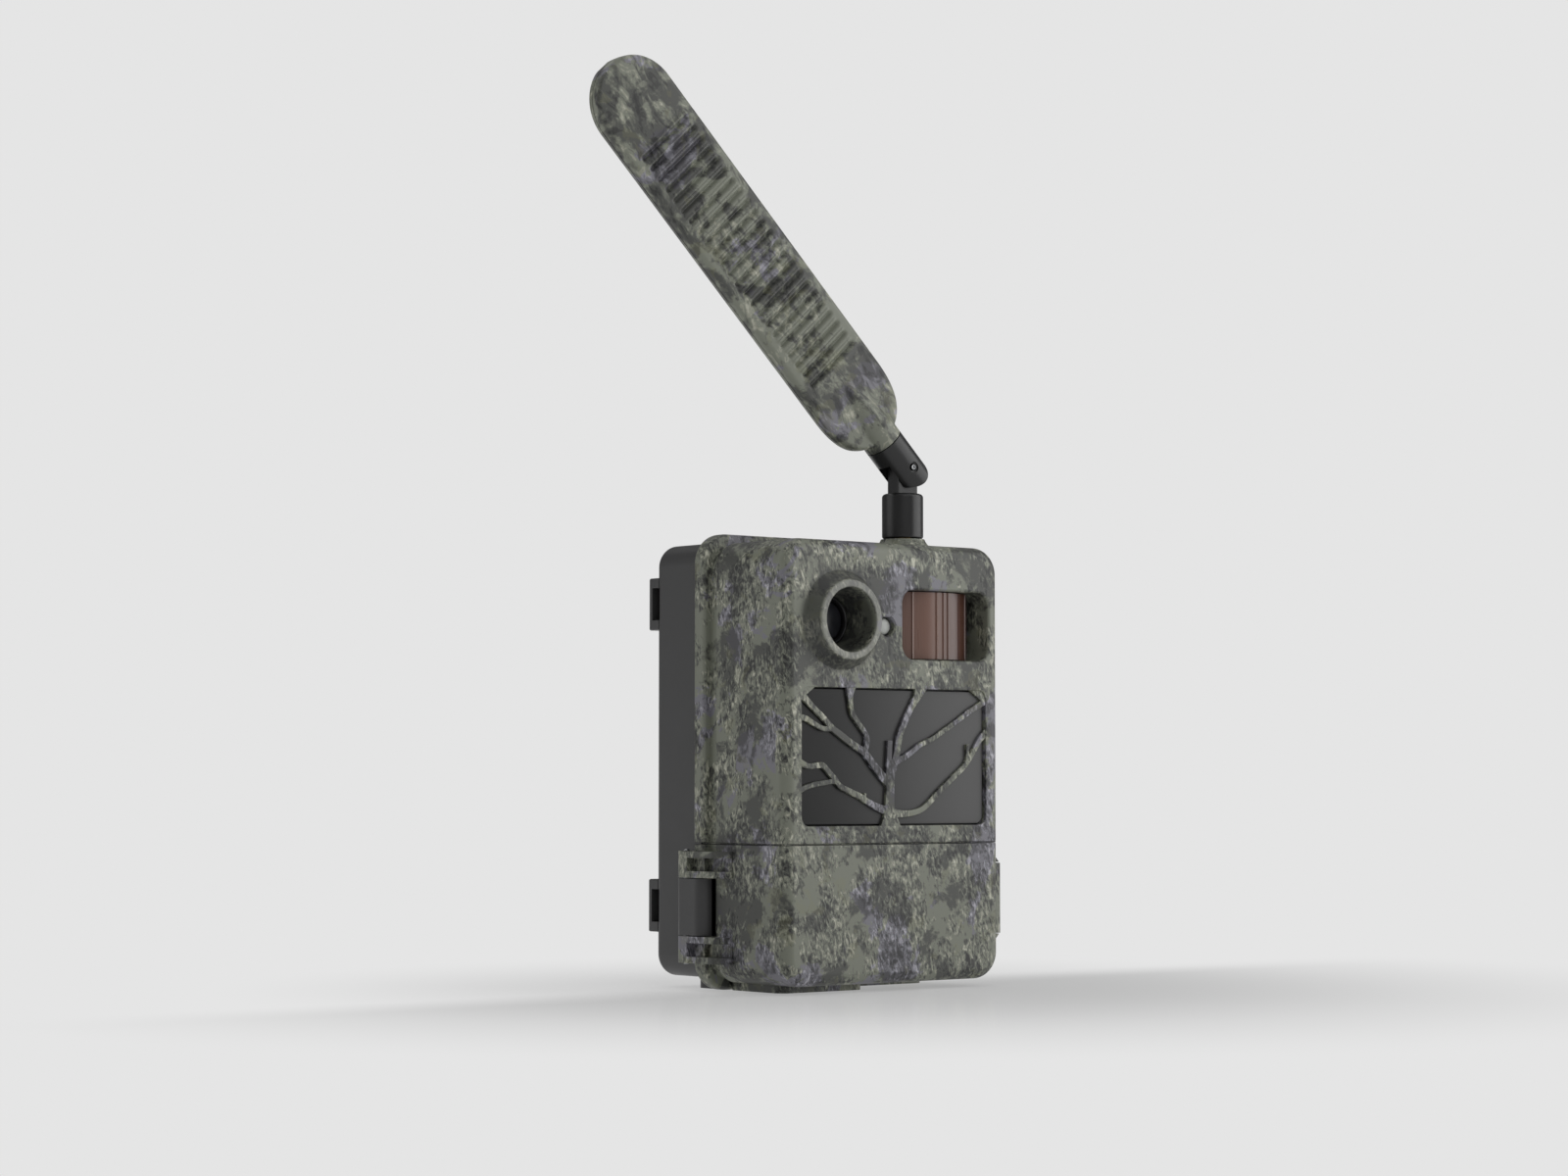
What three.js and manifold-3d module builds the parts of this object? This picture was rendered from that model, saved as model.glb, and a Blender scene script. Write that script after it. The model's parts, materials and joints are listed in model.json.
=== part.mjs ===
// A cellular trail camera: camouflage front shell and swing-open lower door on a dark rear
// housing, with a paddle antenna on a swivelling, tilting joint.
// Millimetres. The front faces -Y, +X is to the viewer's right, +Z is up.
// The origin is the middle of the foot, on the surface that the camera stands on.
import * as THREE from "three";
import { mergeVertices } from "three/addons/utils/BufferGeometryUtils.js";
import Module from "manifold-3d";

const wasm = await Module();
wasm.setup();

// ---------------------------------------------------------------- driving dimensions
const GAP = 0.3; // clearance between pieces that touch
const WALL = 2.4; // thickness of the shells

const BODY = { halfWidth: 44.2, bottom: 2.4, top: 138, corner: 8.5, front: -31, edge: 4 };
const FLANGE = { front: 6, back: 11.5, halfWidth: 46, bottom: 0, top: 141, corner: 9.5 };
const GROOVE = { length: 3.5, depth: 1 };
const REAR = { halfWidth: 42.5, bottom: 3.4, top: 138.6, corner: 7, front: 11.8, back: 35.5, wall: 3 };
const SEAM = { door: 44.95, shell: 45.4 };
const FOOT = { halfWidth: 36, back: 23, frontStep: -19, rearStep: -4, stepRight: -2 };

const LENS = { x: -21.8, z: 113.4, front: -36, baseRadius: 15, rimRadius: 11.8 };
LENS.mouthRadius = 10.4;
LENS.throatRadius = 7.8;
LENS.throat = -26;
const LIGHT_HOLE = { x: -3.1, z: 112, radius: 2.85 };
const PIR = { left: 3.3, right: 39.2, bottom: 102.1, top: 123.6, corner: 4.5, depth: 11 };
const IR = { left: -37.5, right: 37.9, bottom: 50.7, top: 92.8, corner: 3 };

const HINGE = { x: -46.5, y: 14, barrel: 2.5, pin: 0.9, hole: 1.25, clear: 10.9 };
HINGE.upper = [34.7, 42.8];
HINGE.middle = [17, 34.4];
HINGE.lower = [8.5, 16.7];
HINGE.lugFront = -6; // where the door's lugs run out into its side
HINGE.armFront = 3.8; // where the housing's knuckle does
const LATCH = { x: 43.9, y: -25.6, bottom: 16.5, top: 38.5, pin: 0.8, barrel: 3.6, ear: 2.6 };
LATCH.back = 17.4; // the free end, past the rear housing's catch
LATCH.outer = 46.3;
LATCH.inner = 43.5;
LATCH.catch = [13, 15.5];
const LUG = { halfLength: 7, x: 35, back: 39.4, slot: 4.4, wall: 1.7, slotHeight: 10.2 };
LUG.centres = [25.3, 120.2];
LUG.height = 16.5;
LUG.lead = 3; // the slot's run into the back wall, past the lug

const ANTENNA = { x: 16.3, y: -16, bossTop: 140.4, sleeveTop: 154.8, sleeveRadius: 6.5 };
ANTENNA.pinZ = 163;
ANTENNA.yokeRadius = 6.3;
ANTENNA.yokeEnd = 10.6;
ANTENNA.slot = 6.6;
ANTENNA.tongue = { half: 3.8, thickness: 5.8 };
ANTENNA.lean = 43.5; // degrees from upright, towards -X
ANTENNA.turn = -5.3; // degrees that the stem is swivelled about +Z
ANTENNA.pin = 0.85;
ANTENNA.pinHole = 1.15;
ANTENNA.cableHole = 1.2;
const BLADE = { width: 29.9, start: 12.3, end: 159.6, halfThickness: 3.3, split: 0.15 };
const RIDGES = { count: 23, pitch: 4.04, first: 42.5, length: 22.8, depth: 0.6, width: 1.6 };

const CELL = { radius: 7.1, length: 49, nub: 1.5, pitch: 15, front: -19.4 };
CELL.columns = [-20.1, -5.1, 9.9, 24.9];
CELL.rows = [16.75, 31.75];
const TRAY = { bottom: 8, top: 40.5, back: 29.5, wall: 0.9, margin: 0.8, chamfer: 2 };
const CONTACT = { tray: -20.5, housing: 31.6, thickness: 0.6, bottom: 10.4, top: 38.2, tip: 2 };

const INSERT = { radius: 4.2, bore: 3, y: 17.4, length: 6.5 }; // quarter-inch tripod thread
const PLUG = { radius: 4, x: 24 }; // power socket's rubber plug
const SCREW = { radius: 1.1, head: 2.4, headDepth: 1.2, boss: 3.4, length: 14 };
const SCREWS = [[-34.8, 53.5], [34.8, 53.5], [-33, 132.8], [33, 132.8]];

const PANEL = { left: -39.9, right: -28.8, front: -18, back: 9, bottom: 8, top: 39.6, wall: 0.8 };
const SD = { x: -37.8, thickness: 2.1, bottom: 12, top: 36 };
const BUTTONS = { radius: 1.35, x: -33.2, bottom: 12.2, pitch: 3.6, rim: 0.35 };
BUTTONS.names = ["button_menu", "button_down", "button_up", "button_ok"];
const DISPLAY = { left: -36, right: -30.4, bottom: 30.8, top: 38 };
const SWITCH = { x: -33.2, bottom: 25.4, top: 29.6, knob: 1, base: 1.9 };

const GLASS = { radius: 6, ring: 6.4 };
const PIR_FILM = { radius: 24, thickness: 1.1, setback: 1.6 };
const LEDS = { columns: 6, rows: 4, pitchX: 12, pitchZ: 9, left: -30, bottom: 58.5, radius: 1.5 };
const MAIN_BOARD = { halfWidth: 36, front: 0, thickness: 1.6, bottom: 52, top: 130 };
const MODULE = { left: 6, right: 30, bottom: 96, top: 122, thickness: 2.6 };
const SMALL_BOARD = { front: -7.6, back: -6, lens: 11, pirX: 12, pirZ: 9 };
const ELEMENT = { half: 7, thickness: 1, bottom: 24, top: 132 };
const FAR = 200; // further than any face of the part

// ---------------------------------------------------------------- solids
// A closed three.js geometry as a solid that can be joined and cut.
function solid(geometry) {
  const bare = geometry.clone();
  bare.deleteAttribute("normal");
  bare.deleteAttribute("uv");
  const merged = mergeVertices(bare, 1e-3);
  return new wasm.Manifold(
    new wasm.Mesh({
      numProp: 3,
      vertProperties: merged.attributes.position.array,
      triVerts: new Uint32Array(merged.index.array),
    }),
  );
}

// A solid as a three.js geometry with flat faces.
function geometryOf(body) {
  const mesh = body.getMesh();
  const geometry = new THREE.BufferGeometry();
  geometry.setAttribute("position", new THREE.BufferAttribute(mesh.vertProperties, 3));
  geometry.setIndex(new THREE.BufferAttribute(mesh.triVerts, 1));
  const flat = geometry.toNonIndexed();
  flat.computeVertexNormals();
  return flat;
}

const join = (...bodies) => bodies.reduce((whole, body) => whole.add(body));
const cut = (body, ...tools) => tools.reduce((rest, tool) => rest.subtract(tool), body);

function box(x0, x1, y0, y1, z0, z1) {
  const geometry = new THREE.BoxGeometry(x1 - x0, y1 - y0, z1 - z0);
  geometry.translate((x0 + x1) / 2, (y0 + y1) / 2, (z0 + z1) / 2);
  return solid(geometry);
}

// The frames that turn a shape's own x, y and depth into the part's axes.
const ALONG_X = new THREE.Matrix4().makeBasis(
  new THREE.Vector3(0, 1, 0),
  new THREE.Vector3(0, 0, 1),
  new THREE.Vector3(1, 0, 0),
);
const ALONG_Y = new THREE.Matrix4().makeBasis(
  new THREE.Vector3(1, 0, 0),
  new THREE.Vector3(0, 0, 1),
  new THREE.Vector3(0, -1, 0),
);

function extrude(shape, depth, bevel, segments, curveSegments) {
  return new THREE.ExtrudeGeometry(shape, {
    depth: depth - 2 * bevel,
    bevelEnabled: bevel > 0,
    bevelThickness: bevel,
    bevelSize: bevel,
    bevelOffset: -bevel,
    bevelSegments: segments,
    curveSegments,
  }).translate(0, 0, bevel);
}

// A shape in X and Z, made solid from y0 to y1. A wide bevel is rounded by three facets.
function slabY(shape, y0, y1, bevel = 0, curveSegments = 4) {
  const facets = bevel > 1.5 ? 3 : 1;
  const geometry = extrude(shape, y1 - y0, bevel, facets, curveSegments);
  return solid(geometry.applyMatrix4(ALONG_Y).translate(0, y1, 0));
}

// A shape in Y and Z, made solid from x0 to x1.
function slabX(shape, x0, x1, curveSegments = 5) {
  const geometry = extrude(shape, x1 - x0, 0, 1, curveSegments);
  return solid(geometry.applyMatrix4(ALONG_X).translate(x0, 0, 0));
}

// A shape in X and Y, made solid from z0 to z1.
function slabZ(shape, z0, z1, curveSegments = 5) {
  const geometry = extrude(shape, z1 - z0, 0, 1, curveSegments);
  return solid(geometry.translate(0, 0, z0));
}

function roundedRect(x0, x1, y0, y1, radius) {
  const shape = new THREE.Shape();
  shape.moveTo(x0 + radius, y0);
  shape.lineTo(x1 - radius, y0);
  shape.absarc(x1 - radius, y0 + radius, radius, -Math.PI / 2, 0, false);
  shape.lineTo(x1, y1 - radius);
  shape.absarc(x1 - radius, y1 - radius, radius, 0, Math.PI / 2, false);
  shape.lineTo(x0 + radius, y1);
  shape.absarc(x0 + radius, y1 - radius, radius, Math.PI / 2, Math.PI, false);
  shape.lineTo(x0, y0 + radius);
  shape.absarc(x0 + radius, y0 + radius, radius, Math.PI, Math.PI * 1.5, false);
  return shape;
}

function polygon(points) {
  return new THREE.Shape(points.map(([x, y]) => new THREE.Vector2(x, y)));
}

// A turned solid: profile points are [radius, height], from the axis back to the axis.
function turned(points, segments = 24) {
  const profile = points.map(([r, h]) => new THREE.Vector2(r, h));
  return new THREE.LatheGeometry(profile, segments);
}

const turnedZ = (points, x, y, segments) =>
  solid(turned(points, segments).rotateX(Math.PI / 2).translate(x, y, 0));

// Heights along a turned part on the Y axis run towards +Y.
const turnedY = (points, x, z, segments) => solid(turned(points, segments).translate(x, 0, z));

const rodProfile = (radius, from, to) => [[0, from], [radius, from], [radius, to], [0, to]];
const rodZ = (radius, x, y, from, to, segments) =>
  turnedZ(rodProfile(radius, from, to), x, y, segments);
const rodY = (radius, x, z, from, to, segments) =>
  turnedY(rodProfile(radius, from, to), x, z, segments);

// ---------------------------------------------------------------- assembly helpers
const camera = new THREE.Group();
const swivel = new THREE.Group();
const paddle = new THREE.Group();
camera.add(swivel);
swivel.add(paddle);
swivel.position.set(ANTENNA.x, ANTENNA.y, 0);
swivel.rotation.z = THREE.MathUtils.degToRad(ANTENNA.turn);
paddle.position.set(0, 0, ANTENNA.pinZ);
paddle.rotation.y = THREE.MathUtils.degToRad(-ANTENNA.lean);

function material(color, roughness, metalness = 0, extra = {}) {
  return new THREE.MeshStandardMaterial({ color, roughness, metalness, ...extra });
}

function place(name, body, finish, group = camera) {
  const mesh = new THREE.Mesh(geometryOf(body), finish);
  mesh.name = name;
  group.add(mesh);
  return mesh;
}

const CAMO = () => material(0x6b6d60, 0.5);
const DARK_PLASTIC = () => material(0x2a2b2d, 0.55);
const BLACK_PLASTIC = () => material(0x17181a, 0.4);
const BOARD = () => material(0x1d4a2c, 0.6);
const STEEL = () => material(0xb8bbbf, 0.3, 1);
const BRASS = () => material(0xc9a24d, 0.35, 1);
const SEAL = () => material(0x9a3b1c, 0.85);

// ---------------------------------------------------------------- front half, both pieces
const bodyOutline = (inset, radius) =>
  roundedRect(
    -BODY.halfWidth + inset,
    BODY.halfWidth - inset,
    BODY.bottom + inset,
    BODY.top - inset,
    radius,
  );

// The outside of the front half: rounded face, side wall, groove and rear flange.
function frontHalf() {
  const grooveStart = FLANGE.front - GROOVE.length;
  const walls = slabY(bodyOutline(0, BODY.corner), BODY.front, grooveStart + BODY.edge, BODY.edge);
  const face = walls.intersect(box(-FAR, FAR, -FAR, grooveStart, -FAR, FAR));
  const neck = slabY(
    bodyOutline(GROOVE.depth, BODY.corner - GROOVE.depth),
    grooveStart - 1,
    FLANGE.front + 1,
  );
  const rim = roundedRect(
    -FLANGE.halfWidth,
    FLANGE.halfWidth,
    FLANGE.bottom,
    FLANGE.top,
    FLANGE.corner,
  );
  const flange = slabY(rim, FLANGE.front, FLANGE.back, 1);
  return join(face, neck, flange);
}

const INSIDE = WALL + GROOVE.depth; // wall inset that clears the bottom of the groove
const frontCavity = (z0, z1) =>
  slabY(
    roundedRect(
      -BODY.halfWidth + INSIDE,
      BODY.halfWidth - INSIDE,
      z0,
      z1,
      BODY.corner - INSIDE,
    ),
    BODY.front + WALL + 0.2,
    FLANGE.back + 5,
  );

// ---------------------------------------------------------------- branch grille
// Each branch is a list of [x, z, half width], from its root to its tip.
const BRANCHES = [
  [[-1.8, 49, 5], [-1.9, 52, 3.4], [-2.1, 55.6, 2], [-1.9, 62, 1.7], [-1.7, 66, 1.7], [-0.5, 69, 1.5],
    [0.8, 73, 1.3], [2.1, 78.6, 1.2], [4.5, 83.2, 1.1], [6.9, 87.2, 1.1], [9.6, 91, 1.6], [11, 94.5, 3]],
  [[-2.7, 64, 1.2], [-2, 76.8, 1]],
  [[-2.3, 63.5, 1.5], [-5.5, 66.2, 1.4], [-9.1, 69.8, 1.3], [-12.3, 73.1, 1.2], [-17.5, 75.8, 1.1],
    [-21.8, 78.4, 1.1], [-25.3, 80.5, 1], [-28.8, 83.7, 0.9], [-32.3, 86.3, 0.9], [-36.1, 89.5, 1.1],
    [-39, 91.6, 1.6]],
  [[-25.7, 80.2, 0.8], [-29.2, 80.3, 0.8], [-32.7, 81.9, 0.8], [-35.8, 83.3, 0.9], [-39, 83.6, 1]],
  [[-12.3, 73.1, 1], [-11.4, 75.4, 1], [-11.2, 77.6, 0.9], [-12.6, 79.8, 0.9], [-15, 82.4, 0.9],
    [-17.1, 85, 0.9], [-17.8, 88, 0.9], [-18, 90.8, 1.2], [-17.6, 94.5, 2.6]],
  [[1, 70.5, 1.1], [5.3, 72.3, 0.9], [8.2, 74.1, 0.9], [11, 75.7, 0.8], [15.1, 77.2, 0.8],
    [20.4, 80, 0.8], [26.6, 83.4, 0.8], [31.6, 86.3, 0.9], [36.7, 88.8, 1], [39.5, 90.5, 1.2]],
  [[-1, 54.6, 1.4], [4.5, 54.3, 1], [10.2, 55.2, 0.9], [13.9, 57.3, 0.9], [17.6, 60.4, 0.9],
    [21.3, 63.2, 0.9], [25.4, 66.2, 0.9], [29.1, 69, 0.9], [31.6, 71.8, 0.9], [33.7, 74.6, 0.9],
    [35.8, 77.4, 1], [39.5, 80.5, 1.4]],
  [[30.4, 70.6, 0.7], [30.4, 75.8, 0.6]],
  [[-2, 55, 1.5], [-6.7, 56.2, 1.2], [-11.1, 58.1, 1], [-13.9, 59.6, 1], [-18.6, 61.4, 0.9],
    [-22.2, 62.9, 0.9], [-24.1, 65, 0.9], [-26.5, 67.1, 0.9], [-28.8, 69.1, 0.9], [-31.1, 69.1, 0.9],
    [-35, 68.9, 0.9], [-39, 70.6, 1.2]],
  [[-12.6, 58.8, 0.8], [-12, 60.6, 0.4]],
  [[-24.2, 64.4, 0.8], [-28, 63.9, 0.8], [-32.3, 63.3, 0.8], [-36.1, 62.3, 0.8], [-39, 61, 1]],
  [[-32, 94.5, 1.4], [-38.5, 90, 1.4]],
  [[31, 94.6, 1.4], [38.5, 89.8, 1.4]],
];

// A strip that follows a branch, with mitred corners.
function branchShape(points) {
  const left = [];
  const right = [];
  points.forEach(([x, z, half], i) => {
    const before = points[Math.max(i - 1, 0)];
    const after = points[Math.min(i + 1, points.length - 1)];
    const along = new THREE.Vector2(after[0] - before[0], after[1] - before[1]).normalize();
    left.push([x - along.y * half, z + along.x * half]);
    right.unshift([x + along.y * half, z - along.x * half]);
  });
  return polygon([...right, ...left]);
}

function branchGrille() {
  const bars = BRANCHES.map((points) =>
    slabY(branchShape(points), BODY.front + 0.2, BODY.front + WALL + 0.2),
  );
  return join(...bars);
}

// ---------------------------------------------------------------- upper front shell
function lensHood() {
  return turnedY(
    [
      [0, BODY.front + WALL + 0.2],
      [LENS.baseRadius, BODY.front + WALL + 0.2],
      [LENS.baseRadius, BODY.front],
      [LENS.rimRadius + 0.7, LENS.front + 0.6],
      [LENS.rimRadius, LENS.front],
      [0, LENS.front],
    ].reverse(),
    LENS.x,
    LENS.z,
    36,
  );
}

// The hood's tube runs back inside the shell to hold the lens.
function lensTube() {
  return rodY(LENS.throatRadius + 2.2, LENS.x, LENS.z, BODY.front + 1, LENS.throat + 2, 36);
}

function lensBore() {
  return turnedY(
    [
      [0, LENS.front - 1],
      [LENS.mouthRadius + 0.3, LENS.front - 1],
      [LENS.throatRadius, LENS.throat],
      [LENS.throatRadius, LENS.throat + 4],
      [0, LENS.throat + 4],
    ],
    LENS.x,
    LENS.z,
    36,
  );
}

function pirFrame() {
  const outer = roundedRect(PIR.left - 2, PIR.right + 2, PIR.bottom - 2, PIR.top + 2, PIR.corner + 2);
  return slabY(outer, BODY.front + 1, BODY.front + PIR.depth);
}

function frontShell() {
  const upper = box(-FAR, FAR, -FAR, FAR, SEAM.shell, FAR);
  const boss = turnedZ(
    [[0, BODY.top - 2], [8.6, BODY.top - 2], [7, ANTENNA.bossTop], [0, ANTENNA.bossTop]],
    ANTENNA.x,
    ANTENNA.y,
    28,
  );
  const irOpening = roundedRect(IR.left, IR.right, IR.bottom, IR.top, IR.corner);
  const pirOpening = roundedRect(PIR.left, PIR.right, PIR.bottom, PIR.top, PIR.corner);
  const skin = cut(
    frontHalf().intersect(upper),
    frontCavity(SEAM.shell + WALL, BODY.top - INSIDE),
    slabY(irOpening, BODY.front - 2, BODY.front + 5),
  );
  const added = join(skin, branchGrille(), lensHood(), lensTube(), pirFrame(), boss);
  return cut(
    added,
    lensBore(),
    slabY(pirOpening, BODY.front - 2, BODY.front + PIR.depth + 1),
    rodY(LIGHT_HOLE.radius, LIGHT_HOLE.x, LIGHT_HOLE.z, BODY.front - 2, BODY.front + 5, 20),
    rodZ(3.4, ANTENNA.x, ANTENNA.y, BODY.top - 10, ANTENNA.bossTop + 5, 20),
  );
}

// ---------------------------------------------------------------- lower door
function hingeLug([bottom, top]) {
  const { x, y, barrel, lugFront } = HINGE;
  const plan = polygon([
    [x + barrel, y],
    [x - barrel, y],
    [x - barrel, lugFront + 5],
    [x + 1.4, lugFront],
    [x + 4, lugFront],
    [x + 4, y - 2.6],
    [x + barrel, y - 2.6],
  ]);
  return join(slabZ(plan, bottom, top), rodZ(barrel, x, y, bottom, top, 20));
}

// The moulded recess in a hinge lug's outer face.
function lugPocket([bottom, top]) {
  const wall = 1.8;
  return box(HINGE.x - 4, HINGE.x - 1, -3.5, HINGE.y - 3.2, bottom + wall, top - wall);
}

function doorFootPad() {
  const step = roundedRect(-FOOT.halfWidth, FOOT.stepRight, FOOT.frontStep, FLANGE.front + 1, 4);
  const wide = roundedRect(-FOOT.halfWidth, FOOT.halfWidth, FOOT.rearStep, FLANGE.front + 1, 4);
  return join(slabZ(step, 0, BODY.bottom + 1), slabZ(wide, 0, BODY.bottom + 1));
}

// Clearance for the latch lever: round at its pin, then a shallow channel along the side.
function latchRecess() {
  const clear = 0.35;
  const z0 = LATCH.bottom - clear;
  const z1 = LATCH.top + clear;
  return join(
    rodZ(LATCH.barrel + clear, LATCH.x, LATCH.y, z0, z1, 28),
    box(LATCH.inner - 0.4, FAR, LATCH.y, FAR, z0, z1),
  );
}

// Rounded ears above and below the lever hold its pin.
function latchEars() {
  const { x, y, bottom, top, ear } = LATCH;
  const lower = [[0, bottom - ear - 0.3], [1.6, bottom - ear - 0.3], [3.3, bottom], [0, bottom]];
  const upper = [[0, top], [3.3, top], [1.6, top + ear + 0.3], [0, top + ear + 0.3]];
  return join(turnedZ(lower, x, y, 24), turnedZ(upper, x, y, 24));
}

function frontDoor() {
  const lower = box(-FAR, FAR, -FAR, FAR, -FAR, SEAM.door);
  const skin = cut(
    frontHalf().intersect(lower),
    frontCavity(BODY.bottom + WALL, SEAM.door - WALL + 0.3),
  );
  const latchBlock = box(38.2, 42.5, LATCH.y - 4, LATCH.y + 5, 12, SEAM.door - 1);
  const lugs = join(hingeLug(HINGE.upper), hingeLug(HINGE.lower));
  const body = join(skin, doorFootPad(), lugs, latchBlock, latchEars());
  return cut(
    body,
    lugPocket(HINGE.upper),
    lugPocket(HINGE.lower),
    rodZ(HINGE.hole, HINGE.x, HINGE.y, -5, SEAM.door + 5, 16),
    rodZ(HINGE.clear, HINGE.x, HINGE.y, HINGE.middle[0] - GAP, HINGE.middle[1] + GAP, 40),
    latchRecess(),
    rodZ(LATCH.pin + GAP, LATCH.x, LATCH.y, LATCH.bottom - 2.2, LATCH.top + 2.2, 12),
  );
}

// A curved lever that turns on a pin in the door's side and closes past the rear housing's catch.
function doorLatch() {
  const { x, y, bottom, top, barrel, back, outer, inner } = LATCH;
  const hook = inner + 0.9; // the lever is thin over the catch
  const plan = new THREE.Shape();
  plan.moveTo(x - 0.5, y);
  plan.lineTo(x + barrel, y);
  plan.quadraticCurveTo(x + barrel, y + 7, outer, y + 12);
  plan.lineTo(outer, 12);
  plan.lineTo(outer - 0.3, back);
  plan.lineTo(inner + 0.5, back);
  plan.lineTo(inner + 0.5, back - 1.6);
  plan.lineTo(hook, back - 1.9);
  plan.lineTo(hook, 12.4);
  plan.lineTo(inner, 12);
  plan.lineTo(inner, y + 2);
  const lever = join(slabZ(plan, bottom, top, 6), rodZ(barrel, x, y, bottom, top, 24));
  return cut(lever, rodZ(LATCH.pin + GAP, x, y, 0, FAR, 12));
}

// ---------------------------------------------------------------- rear housing
function strapLug(x, z) {
  const outer = box(
    x - LUG.halfLength,
    x + LUG.halfLength,
    REAR.back - 1,
    LUG.back,
    z - LUG.height / 2,
    z + LUG.height / 2,
  );
  const side = Math.sign(x);
  const inner = x - side * (LUG.halfLength + LUG.lead);
  const slot = box(
    Math.min(inner, side * FAR),
    Math.max(inner, side * FAR),
    LUG.back - LUG.wall - LUG.slot,
    LUG.back - LUG.wall,
    z - LUG.slotHeight / 2,
    z + LUG.slotHeight / 2,
  );
  return { outer, slot };
}

function housingKnuckle() {
  const { x, y, barrel, armFront } = HINGE;
  const [bottom, top] = HINGE.middle;
  const plan = polygon([
    [x - barrel, y],
    [x - barrel, armFront],
    [x + 1.9, armFront],
    [x + 1.9, REAR.front],
    [x + 5, REAR.front],
    [x + 5, y + barrel],
    [x, y + barrel],
  ]);
  return join(slabZ(plan, bottom, top), rodZ(barrel, x, y, bottom, top, 20));
}

function rearHousing() {
  const { halfWidth, bottom, top, corner, front, back } = REAR;
  const outline = roundedRect(-halfWidth, halfWidth, bottom, top, corner);
  const block = slabY(outline, front - 3, back, 3).intersect(box(-FAR, FAR, front, back, -FAR, FAR));
  const bay = (z0, z1, inset, y1) =>
    slabY(roundedRect(-halfWidth + inset, halfWidth - inset, z0, z1, 1), front - 2, y1);
  const pad = roundedRect(-FOOT.halfWidth, FOOT.halfWidth, REAR.front, FOOT.back, 4);
  const lugs = LUG.centres.flatMap((z) => [strapLug(-LUG.x, z), strapLug(LUG.x, z)]);
  const [catchFront, catchBack] = LATCH.catch;
  const catchRib = box(halfWidth - 1, halfWidth + 1.2, catchFront, catchBack,
    LATCH.bottom + 3, LATCH.top - 3);
  const body = join(
    block,
    slabZ(pad, 0, bottom + 1),
    housingKnuckle(),
    catchRib,
    ...lugs.map((lug) => lug.outer),
  );
  const hollow = cut(
    body,
    bay(SEAM.shell + 5, top - 5, 4.6, back - REAR.wall),
    bay(SEAM.shell + 2.4, top - 2.6, 2.6, front + 1.7),
    bay(bottom + 4.2, SEAM.door - 4, 4.6, back - REAR.wall),
    bay(bottom + 2.4, SEAM.door - 2, 2.6, front + 1.7),
  );
  const bosses = SCREWS.map(([x, z]) => rodY(SCREW.boss, x, z, front + 2, back - 1, 16));
  return cut(
    join(hollow, ...bosses),
    ...lugs.map((lug) => lug.slot),
    rodZ(HINGE.hole, HINGE.x, HINGE.y, 0, FAR, 16),
    rodZ(INSERT.radius + GAP, 0, INSERT.y, -5, 7, 24),
    rodZ(PLUG.radius + GAP, PLUG.x, INSERT.y, -5, 7.1, 20),
    ...SCREWS.map(([x, z]) => rodY(SCREW.radius + GAP, x, z, back - 20, back + 1, 12)),
    ...SCREWS.map(([x, z]) => rodY(SCREW.head + GAP, x, z, back - 1.5, back + 1, 16)),
  );
}

// A flat seal that follows the rim of a bay.
function seal(z0, z1) {
  const ring = (inset, y0, y1) =>
    slabY(
      roundedRect(-REAR.halfWidth + inset, REAR.halfWidth - inset, z0 + inset, z1 - inset, 2),
      y0,
      y1,
      0,
      2,
    );
  return cut(ring(3, REAR.front, REAR.front + 1.3), ring(4.1, REAR.front - 1, REAR.front + 3));
}

// ---------------------------------------------------------------- optics and sensors
function pirLens() {
  const { radius, thickness, setback } = PIR_FILM;
  const apex = BODY.front + setback;
  const middle = (PIR.left + PIR.right) / 2;
  const half = (PIR.right - PIR.left) / 2 - GAP;
  const angle = Math.asin(half / radius);
  const plan = new THREE.Shape();
  const centreY = apex + radius;
  plan.absarc(middle, centreY, radius, -Math.PI / 2 - angle, -Math.PI / 2 + angle, false);
  plan.absarc(middle, centreY, radius - thickness, -Math.PI / 2 + angle, -Math.PI / 2 - angle, true);
  const { left, right, bottom, top, corner } = PIR;
  const outline = roundedRect(left + GAP, right - GAP, bottom + GAP, top - GAP, corner);
  return slabZ(plan, bottom, top, 10).intersect(slabY(outline, BODY.front, BODY.front + 20));
}

function ledBoard() {
  const board = box(-35, 35, -20.5, -18.9, 54, 90);
  const leds = [];
  for (let column = 0; column < LEDS.columns; column++) {
    for (let row = 0; row < LEDS.rows; row++) {
      const x = LEDS.left + column * LEDS.pitchX;
      const z = LEDS.bottom + row * LEDS.pitchZ;
      leds.push(rodY(LEDS.radius, x, z, -23, -20, 6));
    }
  }
  return join(board, ...leds);
}

// ---------------------------------------------------------------- antenna
// In the swivel's own frame the Z axis is the antenna's axis of rotation.
function antennaStem() {
  const { pinZ, sleeveTop, tongue } = ANTENNA;
  const post = rodZ(4.2, 0, 0, ANTENNA.bossTop + 1, sleeveTop - 2, 24);
  const shape = new THREE.Shape();
  shape.moveTo(-tongue.half, sleeveTop - 3);
  shape.lineTo(tongue.half, sleeveTop - 3);
  shape.lineTo(tongue.half, pinZ);
  shape.absarc(0, pinZ, tongue.half, 0, Math.PI, false);
  const blade = slabY(shape, -tongue.thickness / 2, tongue.thickness / 2, 0, 12);
  return cut(join(post, blade), rodY(ANTENNA.pinHole, 0, pinZ, -10, 10, 16));
}

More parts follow.
